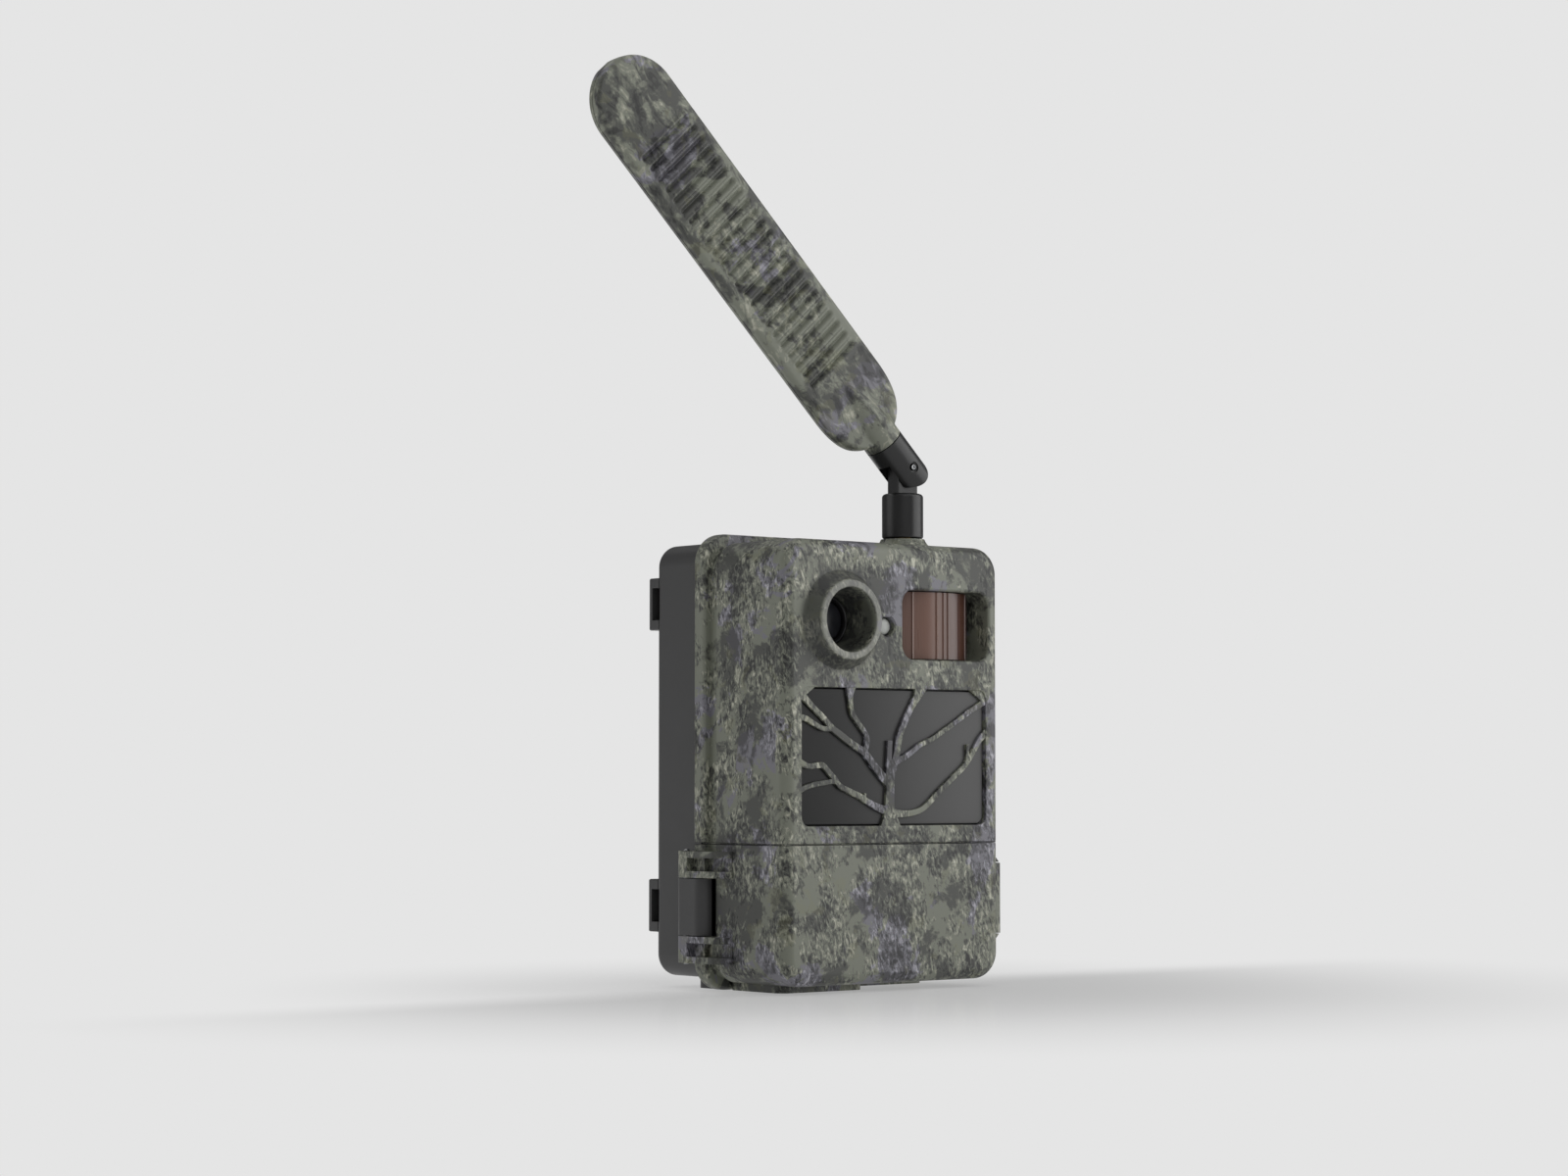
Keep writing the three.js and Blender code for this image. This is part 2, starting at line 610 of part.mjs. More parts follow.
function antennaSleeve() {
  const { bossTop, sleeveTop, sleeveRadius } = ANTENNA;
  const outer = turnedZ(
    [
      [0, bossTop + GAP],
      [sleeveRadius - 0.3, bossTop + GAP],
      [sleeveRadius, bossTop + 0.9],
      [sleeveRadius, sleeveTop - 0.8],
      [sleeveRadius - 0.8, sleeveTop],
      [0, sleeveTop],
    ],
    0,
    0,
    32,
  );
  return cut(outer, rodZ(5, 0, 0, 0, sleeveTop + 5, 28));
}

// In the paddle's own frame the pin is at the origin and +Z runs up the paddle.
function antennaYoke() {
  const { yokeRadius, yokeEnd, slot } = ANTENNA;
  const rod = rodZ(yokeRadius, 0, 0, -8, yokeEnd, 32);
  const end = new THREE.Shape();
  end.moveTo(yokeRadius, yokeEnd + 1);
  end.lineTo(-yokeRadius, yokeEnd + 1);
  end.lineTo(-yokeRadius, 0);
  end.absarc(0, 0, yokeRadius, Math.PI, Math.PI * 2, false);
  const rounded = rod.intersect(slabY(end, -10, 10, 0, 12));
  const slotShape = new THREE.Shape();
  slotShape.moveTo(-9, -9);
  slotShape.lineTo(9, -9);
  slotShape.lineTo(9, 0);
  slotShape.lineTo(4.5, 4.5);
  slotShape.lineTo(-9, 5.2);
  return cut(
    rounded,
    slabY(slotShape, -slot / 2, slot / 2, 0),
    rodY(ANTENNA.pinHole, 0, 0, -10, 10, 16),
    rodZ(ANTENNA.cableHole, 0, 0, 0, 30, 12),
  );
}

function bladeOutline(inset) {
  const half = BLADE.width / 2 - inset;
  const top = BLADE.end - inset;
  const low = BLADE.start + inset;
  const shape = new THREE.Shape();
  shape.moveTo(0, low);
  shape.bezierCurveTo(half * 0.75, low, half, low + 8, half, low + 19);
  shape.lineTo(half, top - half);
  shape.absarc(0, top - half, half, 0, Math.PI, false);
  shape.lineTo(-half, low + 19);
  shape.bezierCurveTo(-half, low + 8, -half * 0.75, low, 0, low);
  return shape;
}

// One moulded half of the paddle; side is -1 for the front half and 1 for the back half.
function bladeHalf(side) {
  const { halfThickness, split } = BLADE;
  const whole = slabY(bladeOutline(0), -halfThickness, halfThickness, 1.8, 8);
  const neck = turnedZ(
    [
      [0, ANTENNA.yokeEnd + GAP],
      [ANTENNA.yokeRadius, ANTENNA.yokeEnd + GAP],
      [ANTENNA.yokeRadius, 17],
      [3, 36],
      [0, 36],
    ],
    0,
    0,
    32,
  );
  const half = side < 0 ? box(-FAR, FAR, -FAR, -split, 0, FAR) : box(-FAR, FAR, split, FAR, 0, FAR);
  const hollow = slabY(bladeOutline(3), -halfThickness + 1.6, halfThickness - 1.6);
  const grooves = [];
  for (let i = 0; i < RIDGES.count; i++) {
    const centre = RIDGES.first + i * RIDGES.pitch;
    const y = side * halfThickness;
    const section = polygon([
      [y - side * RIDGES.depth, centre],
      [y + side * RIDGES.depth, centre - side * RIDGES.width],
      [y + side * RIDGES.depth, centre + side * RIDGES.width],
    ]);
    grooves.push(slabX(section, -RIDGES.length / 2, RIDGES.length / 2));
  }
  return cut(join(whole, neck).intersect(half), hollow, ...grooves);
}

// ---------------------------------------------------------------- power and controls
// The tray is open at the back, where the cells meet the fixed contacts.
function batteryTray() {
  const { bottom, top, back, wall, margin, chamfer } = TRAY;
  const x0 = CELL.columns[0] - CELL.pitch / 2 - margin;
  const x1 = CELL.columns[3] + CELL.pitch / 2 + margin;
  const front = CELL.front - 2.6;
  const plan = polygon([
    [x0, front],
    [x1 - chamfer, front],
    [x1, front + chamfer],
    [x1, back],
    [x0, back],
  ]);
  const outer = slabZ(plan, bottom, top);
  const inner = box(x0 + wall, x1 - wall, front + 1.2, back + 1, bottom + 1, top - 1);
  const pull = box(-1.6, 6.4, front - 3, front + 3, 20.5, 28);
  return cut(outer, inner, pull);
}

function cell(x, z, flipped) {
  const body = [
    [0, 0],
    [CELL.radius, 0],
    [CELL.radius, CELL.length],
    [2.7, CELL.length],
    [2.7, CELL.length + CELL.nub],
    [0, CELL.length + CELL.nub],
  ];
  const length = CELL.length + CELL.nub;
  const profile = flipped ? body.map(([r, h]) => [r, length - h]).reverse() : body;
  return turnedY(profile.map(([r, h]) => [r, h + CELL.front]), x, z, 12);
}

// A plate with a raised tip for each cell; toCell is 1 or -1, the way to the cells.
function contactPlate(front, toCell) {
  const back = front + CONTACT.thickness;
  const x0 = CELL.columns[0] - 7;
  const x1 = CELL.columns[3] + 7;
  const plate = box(x0, x1, front, back, CONTACT.bottom, CONTACT.top);
  const tipFront = toCell < 0 ? front - 0.2 : front;
  const tips = CELL.columns.flatMap((x) =>
    CELL.rows.map((z) => rodY(CONTACT.tip, x, z, tipFront, tipFront + CONTACT.thickness + 0.2, 8)),
  );
  return join(plate, ...tips);
}

const buttonZ = (i) => BUTTONS.bottom + i * BUTTONS.pitch;

function controlPanel() {
  const outer = box(PANEL.left, PANEL.right, PANEL.front, PANEL.back, PANEL.bottom, PANEL.top);
  const inner = box(
    PANEL.left + PANEL.wall,
    PANEL.right - PANEL.wall,
    PANEL.front + 1.6,
    PANEL.back + 1,
    PANEL.bottom + PANEL.wall,
    PANEL.top - PANEL.wall,
  );
  const through = (x0, x1, z0, z1) => box(x0, x1, PANEL.front - 1, PANEL.front + 3, z0, z1);
  const holes = BUTTONS.names.map((name, i) =>
    rodY(BUTTONS.radius + GAP, BUTTONS.x, buttonZ(i), PANEL.front - 1, PANEL.front + 3, 16),
  );
  return cut(
    outer,
    inner,
    through(SD.x - 1.25, SD.x + 1.25, SD.bottom - 0.4, SD.top + 0.4),
    through(DISPLAY.left, DISPLAY.right, DISPLAY.bottom, DISPLAY.top),
    through(SWITCH.x - 1.4, SWITCH.x + 1.4, SWITCH.bottom, SWITCH.top),
    ...holes,
  );
}

function panelButton(z) {
  return turnedY(
    [
      [0, PANEL.front - 0.9],
      [BUTTONS.radius - 0.3, PANEL.front - 0.9],
      [BUTTONS.radius, PANEL.front - 0.6],
      [BUTTONS.radius, PANEL.front + 1.9],
      [BUTTONS.radius + BUTTONS.rim, PANEL.front + 1.9],
      [BUTTONS.radius + BUTTONS.rim, PANEL.front + 2.7],
      [0, PANEL.front + 2.7],
    ],
    BUTTONS.x,
    z,
    12,
  );
}

function powerSwitch() {
  const knob = box(SWITCH.x - SWITCH.knob, SWITCH.x + SWITCH.knob, PANEL.front - 0.8, PANEL.front + 2.6,
    SWITCH.bottom + 0.4, SWITCH.bottom + 2);
  const base = box(SWITCH.x - SWITCH.base, SWITCH.x + SWITCH.base, PANEL.front + 1.9, PANEL.front + 3,
    SWITCH.bottom - 0.3, SWITCH.bottom + 2.6);
  return join(knob, base);
}

// ---------------------------------------------------------------- build the camera
place("rear_housing", rearHousing(), DARK_PLASTIC());
place("front_shell", frontShell(), CAMO());
place("front_door", frontDoor(), CAMO());
place("housing_gasket", seal(SEAM.shell - 0.2, REAR.top), SEAL());
place("door_gasket", seal(REAR.bottom, SEAM.door + 0.4), SEAL());
place("door_hinge_pin", rodZ(HINGE.pin, HINGE.x, HINGE.y, 8, 43.4, 14), STEEL());
place("door_latch", doorLatch(), CAMO());
place("latch_pin", rodZ(LATCH.pin, LATCH.x, LATCH.y, LATCH.bottom - 1.9, LATCH.top + 1.9, 12), STEEL());
SCREWS.forEach(([x, z], i) => {
  const profile = [
    [0, REAR.back - SCREW.length],
    [SCREW.radius, REAR.back - SCREW.length],
    [SCREW.radius, REAR.back - SCREW.headDepth],
    [SCREW.head, REAR.back - SCREW.headDepth],
    [SCREW.head, REAR.back - 0.2],
    [0, REAR.back - 0.2],
  ];
  place("housing_screw_" + (i + 1), turnedY(profile, x, z, 14), STEEL());
});
const insertBlank = rodZ(INSERT.radius, 0, INSERT.y, 0.2, INSERT.length, 24);
place("tripod_insert", cut(insertBlank, rodZ(INSERT.bore, 0, INSERT.y, -2, 5.5, 20)), BRASS());
place("dc_port_plug", rodZ(PLUG.radius, PLUG.x, INSERT.y, 0.4, 6.8, 20), material(0x1b1b1c, 0.8));

// Optics: black bezel ring, glass, barrel and the board that carries the image sensor.
const bezelBack = LENS.throat + 3.6;
const bezel = turnedY(
  [
    [0, LENS.throat + 0.9],
    [LENS.throatRadius - GAP, LENS.throat + 0.9],
    [LENS.throatRadius - GAP, bezelBack],
    [0, bezelBack],
  ],
  LENS.x,
  LENS.z,
  32,
);
place("lens_bezel", cut(bezel, rodY(GLASS.ring, LENS.x, LENS.z, -FAR, 0, 32)), BLACK_PLASTIC());
place("lens_window", turnedY(
  [
    [0, LENS.throat + 1.6],
    [3.2, LENS.throat + 1.8],
    [GLASS.radius, LENS.throat + 2.4],
    [GLASS.radius, LENS.throat + 3.6],
    [0, LENS.throat + 3.6],
  ],
  LENS.x,
  LENS.z,
  32,
), material(0x10141c, 0.05, 0, { transparent: true, opacity: 0.5 }));
place("lens_barrel", rodY(GLASS.radius, LENS.x, LENS.z, LENS.throat + 4, -8, 28), BLACK_PLASTIC());
const { front: boardFront, back: boardBack, lens: boardHalf, pirX, pirZ: pirHalf } = SMALL_BOARD;
place("image_sensor_board",
  box(LENS.x - boardHalf, LENS.x + boardHalf, boardFront, boardBack,
    LENS.z - boardHalf, LENS.z + boardHalf),
  BOARD());
place("light_sensor_window",
  rodY(LIGHT_HOLE.radius - GAP, LIGHT_HOLE.x, LIGHT_HOLE.z, BODY.front + 1.5, BODY.front + 3.5, 20),
  material(0xb9bcb6, 0.35));
place("pir_lens", pirLens(), material(0x7a4334, 0.3));
const pirMiddle = (PIR.left + PIR.right) / 2;
const pirZ = (PIR.bottom + PIR.top) / 2;
place("pir_sensor", rodY(4.6, pirMiddle, pirZ, -12, -7.8, 20), STEEL());
place("pir_board",
  box(pirMiddle - pirX, pirMiddle + pirX, boardFront + 0.2, boardBack,
    pirZ - pirHalf, pirZ + pirHalf),
  BOARD());
place("ir_window",
  slabY(roundedRect(IR.left - 2.2, IR.right + 2.2, IR.bottom - 2.2, IR.top + 2.2, 4),
    BODY.front + WALL + 0.5, BODY.front + WALL + 2.4),
  material(0x17181b, 0.2));
place("ir_led_board", ledBoard(), BOARD());

// Electronics behind the optics.
place("main_board",
  box(-MAIN_BOARD.halfWidth, MAIN_BOARD.halfWidth, MAIN_BOARD.front,
    MAIN_BOARD.front + MAIN_BOARD.thickness, MAIN_BOARD.bottom, MAIN_BOARD.top),
  BOARD());
const moduleFront = MAIN_BOARD.front + MAIN_BOARD.thickness + 0.4;
place("lte_module",
  box(MODULE.left, MODULE.right, moduleFront, moduleFront + MODULE.thickness,
    MODULE.bottom, MODULE.top),
  material(0x9a9da0, 0.35, 1));
const jackZ = BODY.top - INSIDE - 4;
const jack = turnedZ(
  [
    [0, jackZ],
    [5, jackZ],
    [5, BODY.top - INSIDE - GAP],
    [3, BODY.top - INSIDE - GAP],
    [3, ANTENNA.bossTop + 0.6],
    [0, ANTENNA.bossTop + 0.6],
  ],
  ANTENNA.x,
  ANTENNA.y,
  20,
);
place("antenna_jack", jack, BRASS());
const coaxPath = new THREE.CatmullRomCurve3([
  new THREE.Vector3(ANTENNA.x, ANTENNA.y, jackZ - 0.4),
  new THREE.Vector3(ANTENNA.x, ANTENNA.y + 0.5, 127.5),
  new THREE.Vector3(17, -9, 125.6),
  new THREE.Vector3(19, -2.6, 127.6),
  new THREE.Vector3(19.5, -0.6, 131.8),
  new THREE.Vector3(19, 3, 130.5),
  new THREE.Vector3(18, 3.6, 126),
  new THREE.Vector3(18, 3.4, 122.6),
]);
const coaxSection = new THREE.Shape();
coaxSection.absarc(0, 0, 0.6, 0, Math.PI * 2, false);
const coax = new THREE.ExtrudeGeometry(coaxSection, {
  steps: 28,
  extrudePath: coaxPath,
  curveSegments: 4,
});
place("antenna_coax", solid(coax), material(0x111111, 0.6));

// Batteries, contacts and the tray.
place("battery_tray", batteryTray(), BLACK_PLASTIC());
CELL.rows.forEach((z, row) => {
  CELL.columns.forEach((x, column) => {
    const flipped = (row + column) % 2 === 1;
    place("battery_" + (row * 4 + column + 1), cell(x, z, flipped), material(0x3d6b54, 0.35, 0.6));
  });
});
place("tray_contacts", contactPlate(CONTACT.tray, 1), STEEL());
place("housing_contacts", contactPlate(CONTACT.housing, -1), STEEL());

// Controls behind the door.
place("control_panel", controlPanel(), BLACK_PLASTIC());
place("display", box(DISPLAY.left + GAP, DISPLAY.right - GAP, PANEL.front + 0.3, PANEL.front + 2.2,
  DISPLAY.bottom + GAP, DISPLAY.top - GAP), material(0x2c3a4a, 0.1));
BUTTONS.names.forEach((name, i) => {
  place(name, panelButton(buttonZ(i)), material(0x4a4c4e, 0.6));
});
place("power_switch", powerSwitch(), material(0xb5441f, 0.6));
place("sd_card", box(SD.x - SD.thickness / 2, SD.x + SD.thickness / 2, PANEL.front - 1.2, PANEL.back,
  SD.bottom, SD.top), material(0x1c2733, 0.5));

// Antenna: the sleeve, stem and pin turn on the jack; the yoke and paddle tilt on the pin.
place("antenna_sleeve", antennaSleeve(), BLACK_PLASTIC(), swivel);
place("antenna_stem", antennaStem(), BLACK_PLASTIC(), swivel);
place("antenna_pin", rodY(ANTENNA.pin, 0, ANTENNA.pinZ, -6, 6, 16), STEEL(), swivel);
place("antenna_yoke", antennaYoke(), BLACK_PLASTIC(), paddle);
place("antenna_blade_front", bladeHalf(-1), CAMO(), paddle);
place("antenna_blade_back", bladeHalf(1), CAMO(), paddle);
place("antenna_element",
  box(-ELEMENT.half, ELEMENT.half, -ELEMENT.thickness / 2, ELEMENT.thickness / 2,
    ELEMENT.bottom, ELEMENT.top),
  BRASS(), paddle);

export default camera;
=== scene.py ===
"""The looks of a trail camera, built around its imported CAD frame.

Shapes are made in millimetres, in the frame's own axes, and scaled to metres at the end. Places
come from the frame: the boxes of the CAD nodes, the joints and the mounts.
"""
import json
import math

import bmesh
import bpy
import numpy as np
from mathutils import Matrix, Vector


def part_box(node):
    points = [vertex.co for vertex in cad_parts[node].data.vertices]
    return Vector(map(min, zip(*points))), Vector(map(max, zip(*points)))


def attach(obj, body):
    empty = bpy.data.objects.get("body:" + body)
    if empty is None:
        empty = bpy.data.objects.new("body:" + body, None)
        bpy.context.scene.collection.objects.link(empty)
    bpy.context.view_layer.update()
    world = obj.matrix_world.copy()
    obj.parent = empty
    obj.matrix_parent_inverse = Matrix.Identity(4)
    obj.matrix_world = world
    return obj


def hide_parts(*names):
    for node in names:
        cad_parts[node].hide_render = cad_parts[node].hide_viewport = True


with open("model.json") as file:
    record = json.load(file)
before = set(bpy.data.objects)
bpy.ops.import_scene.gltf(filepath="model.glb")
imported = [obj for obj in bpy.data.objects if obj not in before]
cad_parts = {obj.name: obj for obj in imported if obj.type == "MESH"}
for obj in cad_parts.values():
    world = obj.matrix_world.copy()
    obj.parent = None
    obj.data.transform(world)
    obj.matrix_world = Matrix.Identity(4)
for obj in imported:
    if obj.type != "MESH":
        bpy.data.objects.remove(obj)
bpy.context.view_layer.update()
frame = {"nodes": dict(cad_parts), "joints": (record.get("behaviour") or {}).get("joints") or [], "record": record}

MM = 0.001
GAP = 0.3  # clearance that the CAD keeps between touching pieces
FAR = 300  # further than any face of the camera
JOINTS = {joint["name"]: joint for joint in frame["joints"]}


def node_box(name):
    """Lowest and highest corner of a CAD node, in millimetres."""
    low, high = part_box(name)
    return low / MM, high / MM


def node_middle(name):
    low, high = node_box(name)
    return (low + high) / 2


# ------------------------------------------------------------------ sizes, from the frame
SHELL_LOW, SHELL_HIGH = node_box("front_shell")
LENS = node_middle("lens_bezel")
LIGHT = node_middle("light_sensor_window")
PIR_LOW, PIR_HIGH = node_box("pir_lens")
PIR_CORNER = 4.5
IR_LOW, IR_HIGH = node_box("ir_window")
HINGE = node_middle("door_hinge_pin")
LATCH = node_middle("latch_pin")
LATCH_LOW, LATCH_HIGH = node_box("door_latch")
SWIVEL = Vector(JOINTS["antenna_swivel"]["pos_m"]) / MM
TILT = Vector(JOINTS["antenna_tilt"]["pos_m"]) / MM
SLEEVE_LOW, SLEEVE_HIGH = node_box("antenna_sleeve")
INSERT = node_middle("tripod_insert")
PLUG = node_middle("dc_port_plug")
SCREWS = [node_middle(f"housing_screw_{i}") for i in range(1, 5)]
LUGS = [
    Vector(mount["pos_m"]) / MM
    for mount in frame["record"]["mounts"]
    if mount["name"].endswith("lug")
]

FLANGE = {"half": SHELL_HIGH.x, "top": 141.0, "bottom": 0.0, "corner": 9.5, "front": 6.0}
FLANGE["back"] = SHELL_HIGH.y
FACE = node_box("front_door")[0].y  # the flat front face
SIDE_STEP = 1.8  # the flange stands this far out from the side walls
BODY = {"half": FLANGE["half"] - SIDE_STEP, "top": 138.0, "bottom": 2.4, "corner": 8.5, "edge": 4.0}
GROOVE = {"length": 3.5, "depth": 1.0}
WALL = 2.4
PANE = 1.3  # how far behind the face the infrared filter's raised pane lies
SEAM = {"door": 44.95, "shell": SHELL_LOW.z}
KNUCKLE = (17.0, 34.4)  # the housing's part of the hinge, from bottom to top
LUG_SPANS = ((34.7, 42.8), (8.5, 16.7))  # the door's hinge lugs
BARREL = 2.5
REAR = {"half": 42.5, "bottom": 3.4, "top": 138.6, "corner": 7.0, "front": 11.8, "back": 35.5}
FOOT = {"half": 36.0, "back": 23.0, "front_step": -19.0, "rear_step": -4.0, "step_right": -2.0}


# ------------------------------------------------------------------ mesh building
def new_piece(name, vertices, faces):
    """A mesh whose faces are turned outwards."""
    mesh = bpy.data.meshes.new(name)
    mesh.from_pydata([tuple(v) for v in vertices], [], faces)
    work = bmesh.new()
    work.from_mesh(mesh)
    bmesh.ops.recalc_face_normals(work, faces=work.faces)
    work.to_mesh(mesh)
    work.free()
    piece = bpy.data.objects.new(name, mesh)
    bpy.context.scene.collection.objects.link(piece)
    return piece


def loft(rings):
    """A solid through rings of equally many points, with flat ends."""
    count = len(rings[0])
    vertices = [point for ring in rings for point in ring]
    faces = [list(range(count)), list(range(len(vertices) - count, len(vertices)))]
    for i in range(len(rings) - 1):
        for j in range(count):
            a = i * count + j
            b = i * count + (j + 1) % count
            faces.append([a, a + count, b + count, b])
    return new_piece("loft", vertices, faces)


AXES = {
    "X": lambda u, v, depth: (depth, u, v),
    "Y": lambda u, v, depth: (u, depth, v),
    "Z": lambda u, v, depth: (u, v, depth),
}


def prism(outline, low, high, axis):
    """A flat outline made solid along an axis, from low to high."""
    put = AXES[axis]
    return loft([[put(u, v, depth) for u, v in outline] for depth in (low, high)])


def block(x0, x1, y0, y1, z0, z1):
    return prism([(x0, y0), (x1, y0), (x1, y1), (x0, y1)], z0, z1, "Z")


def rounded(x0, x1, y0, y1, radius, steps=10):
    """A rectangle with round corners, as points round its edge."""
    points = []
    corners = ((x1, y0, -90, -1, 1), (x1, y1, 0, -1, -1), (x0, y1, 90, 1, -1), (x0, y0, 180, 1, 1))
    for x, y, start, in_x, in_y in corners:
        for step in range(steps + 1):
            angle = math.radians(start + 90 * step / steps)
            points.append((
                x + in_x * radius + radius * math.cos(angle),
                y + in_y * radius + radius * math.sin(angle),
            ))
    return points


def arc(x, y, radius, start, end, steps):
    """Points on an arc, with its angles in degrees."""
    angles = [math.radians(start + (end - start) * i / steps) for i in range(steps + 1)]
    return [(x + radius * math.cos(a), y + radius * math.sin(a)) for a in angles]


def turned(profile, centre, axis, segments=64):
    """A turned solid. The profile's points are (radius, height), from the axis back to the axis.

    A ring's profile ends on its first point instead, and its two edges there meet unwelded."""
    put = AXES[axis]
    u0, v0 = centre
    vertices = []
    rings = []
    for radius, height in profile:
        if radius == 0:
            rings.append([len(vertices)])
            vertices.append(put(u0, v0, height))
            continue
        rings.append(list(range(len(vertices), len(vertices) + segments)))
        for i in range(segments):
            angle = 2 * math.pi * i / segments
            u, v = u0 + radius * math.cos(angle), v0 + radius * math.sin(angle)
            vertices.append(put(u, v, height))
    faces = []
    for low, high in zip(rings, rings[1:]):
        for i in range(segments):
            j = (i + 1) % segments
            corners = [low[i % len(low)], low[j % len(low)],
                       high[j % len(high)], high[i % len(high)]]
            face = list(dict.fromkeys(corners))
            if len(face) > 2:
                faces.append(face)
    return new_piece("turned", vertices, faces)


def rod(radius, centre, axis, low, high, segments=48):
    return turned([(0, low), (radius, low), (radius, high), (0, high)], centre, axis, segments)


def apply_modifiers(piece):
    graph = bpy.context.evaluated_depsgraph_get()
    mesh = bpy.data.meshes.new_from_object(piece.evaluated_get(graph))
    old = piece.data
    piece.modifiers.clear()
    piece.data = mesh
    bpy.data.meshes.remove(old)


def combine(piece, operation, tools):
    for tool in tools:
        modifier = piece.modifiers.new("combine", "BOOLEAN")
        modifier.operation = operation
        modifier.solver = "MANIFOLD"
        modifier.object = tool
    apply_modifiers(piece)
    for tool in tools:
        bpy.data.objects.remove(tool)
    return piece


def join(piece, *tools):
    return combine(piece, "UNION", tools)


def cut(piece, *tools):
    return combine(piece, "DIFFERENCE", tools)


def keep(piece, *tools):
    return combine(piece, "INTERSECT", tools)


def smooth(piece, angle=34):
    """Smooth shading that keeps the edges sharper than the angle, with flat faces kept flat."""
    mesh = piece.data
    mesh.polygons.foreach_set("use_smooth", [True] * len(mesh.polygons))
    mesh.set_sharp_from_angle(angle=math.radians(angle))
    weighted = piece.modifiers.new("weighted", "WEIGHTED_NORMAL")
    weighted.keep_sharp = True


def soften(piece, width, segments=2, angle=38):
    """Rounds the sharp edges of a solid."""
    bevel = piece.modifiers.new("edges", "BEVEL")
    bevel.width = width
    bevel.segments = segments
    bevel.limit_method = "ANGLE"
    bevel.angle_limit = math.radians(angle)
    bevel.use_clamp_overlap = True
    bevel.miter_outer = "MITER_ARC"
    apply_modifiers(piece)
    return piece


def settle(piece, name, body, finish, nodes=(), place=None):
    """Names a finished piece, scales it to metres and hangs it on its body."""
    piece.name = name
    piece.data.name = name
    if place:
        piece.data.transform(place)
    piece.data.transform(Matrix.Scale(MM, 4))
    piece.data.materials.clear()
    piece.data.materials.append(finish)
    smooth(piece)
    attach(piece, body)
    if nodes:
        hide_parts(*nodes)
    return piece


# ------------------------------------------------------------------ material building
def linear(code):
    """A colour written as six hex digits, as linear red, green, blue and alpha."""
    values = [int(code[i:i + 2], 16) / 255 for i in (0, 2, 4)]
    return [v / 12.92 if v <= 0.04045 else ((v + 0.055) / 1.055) ** 2.4 for v in values] + [1]


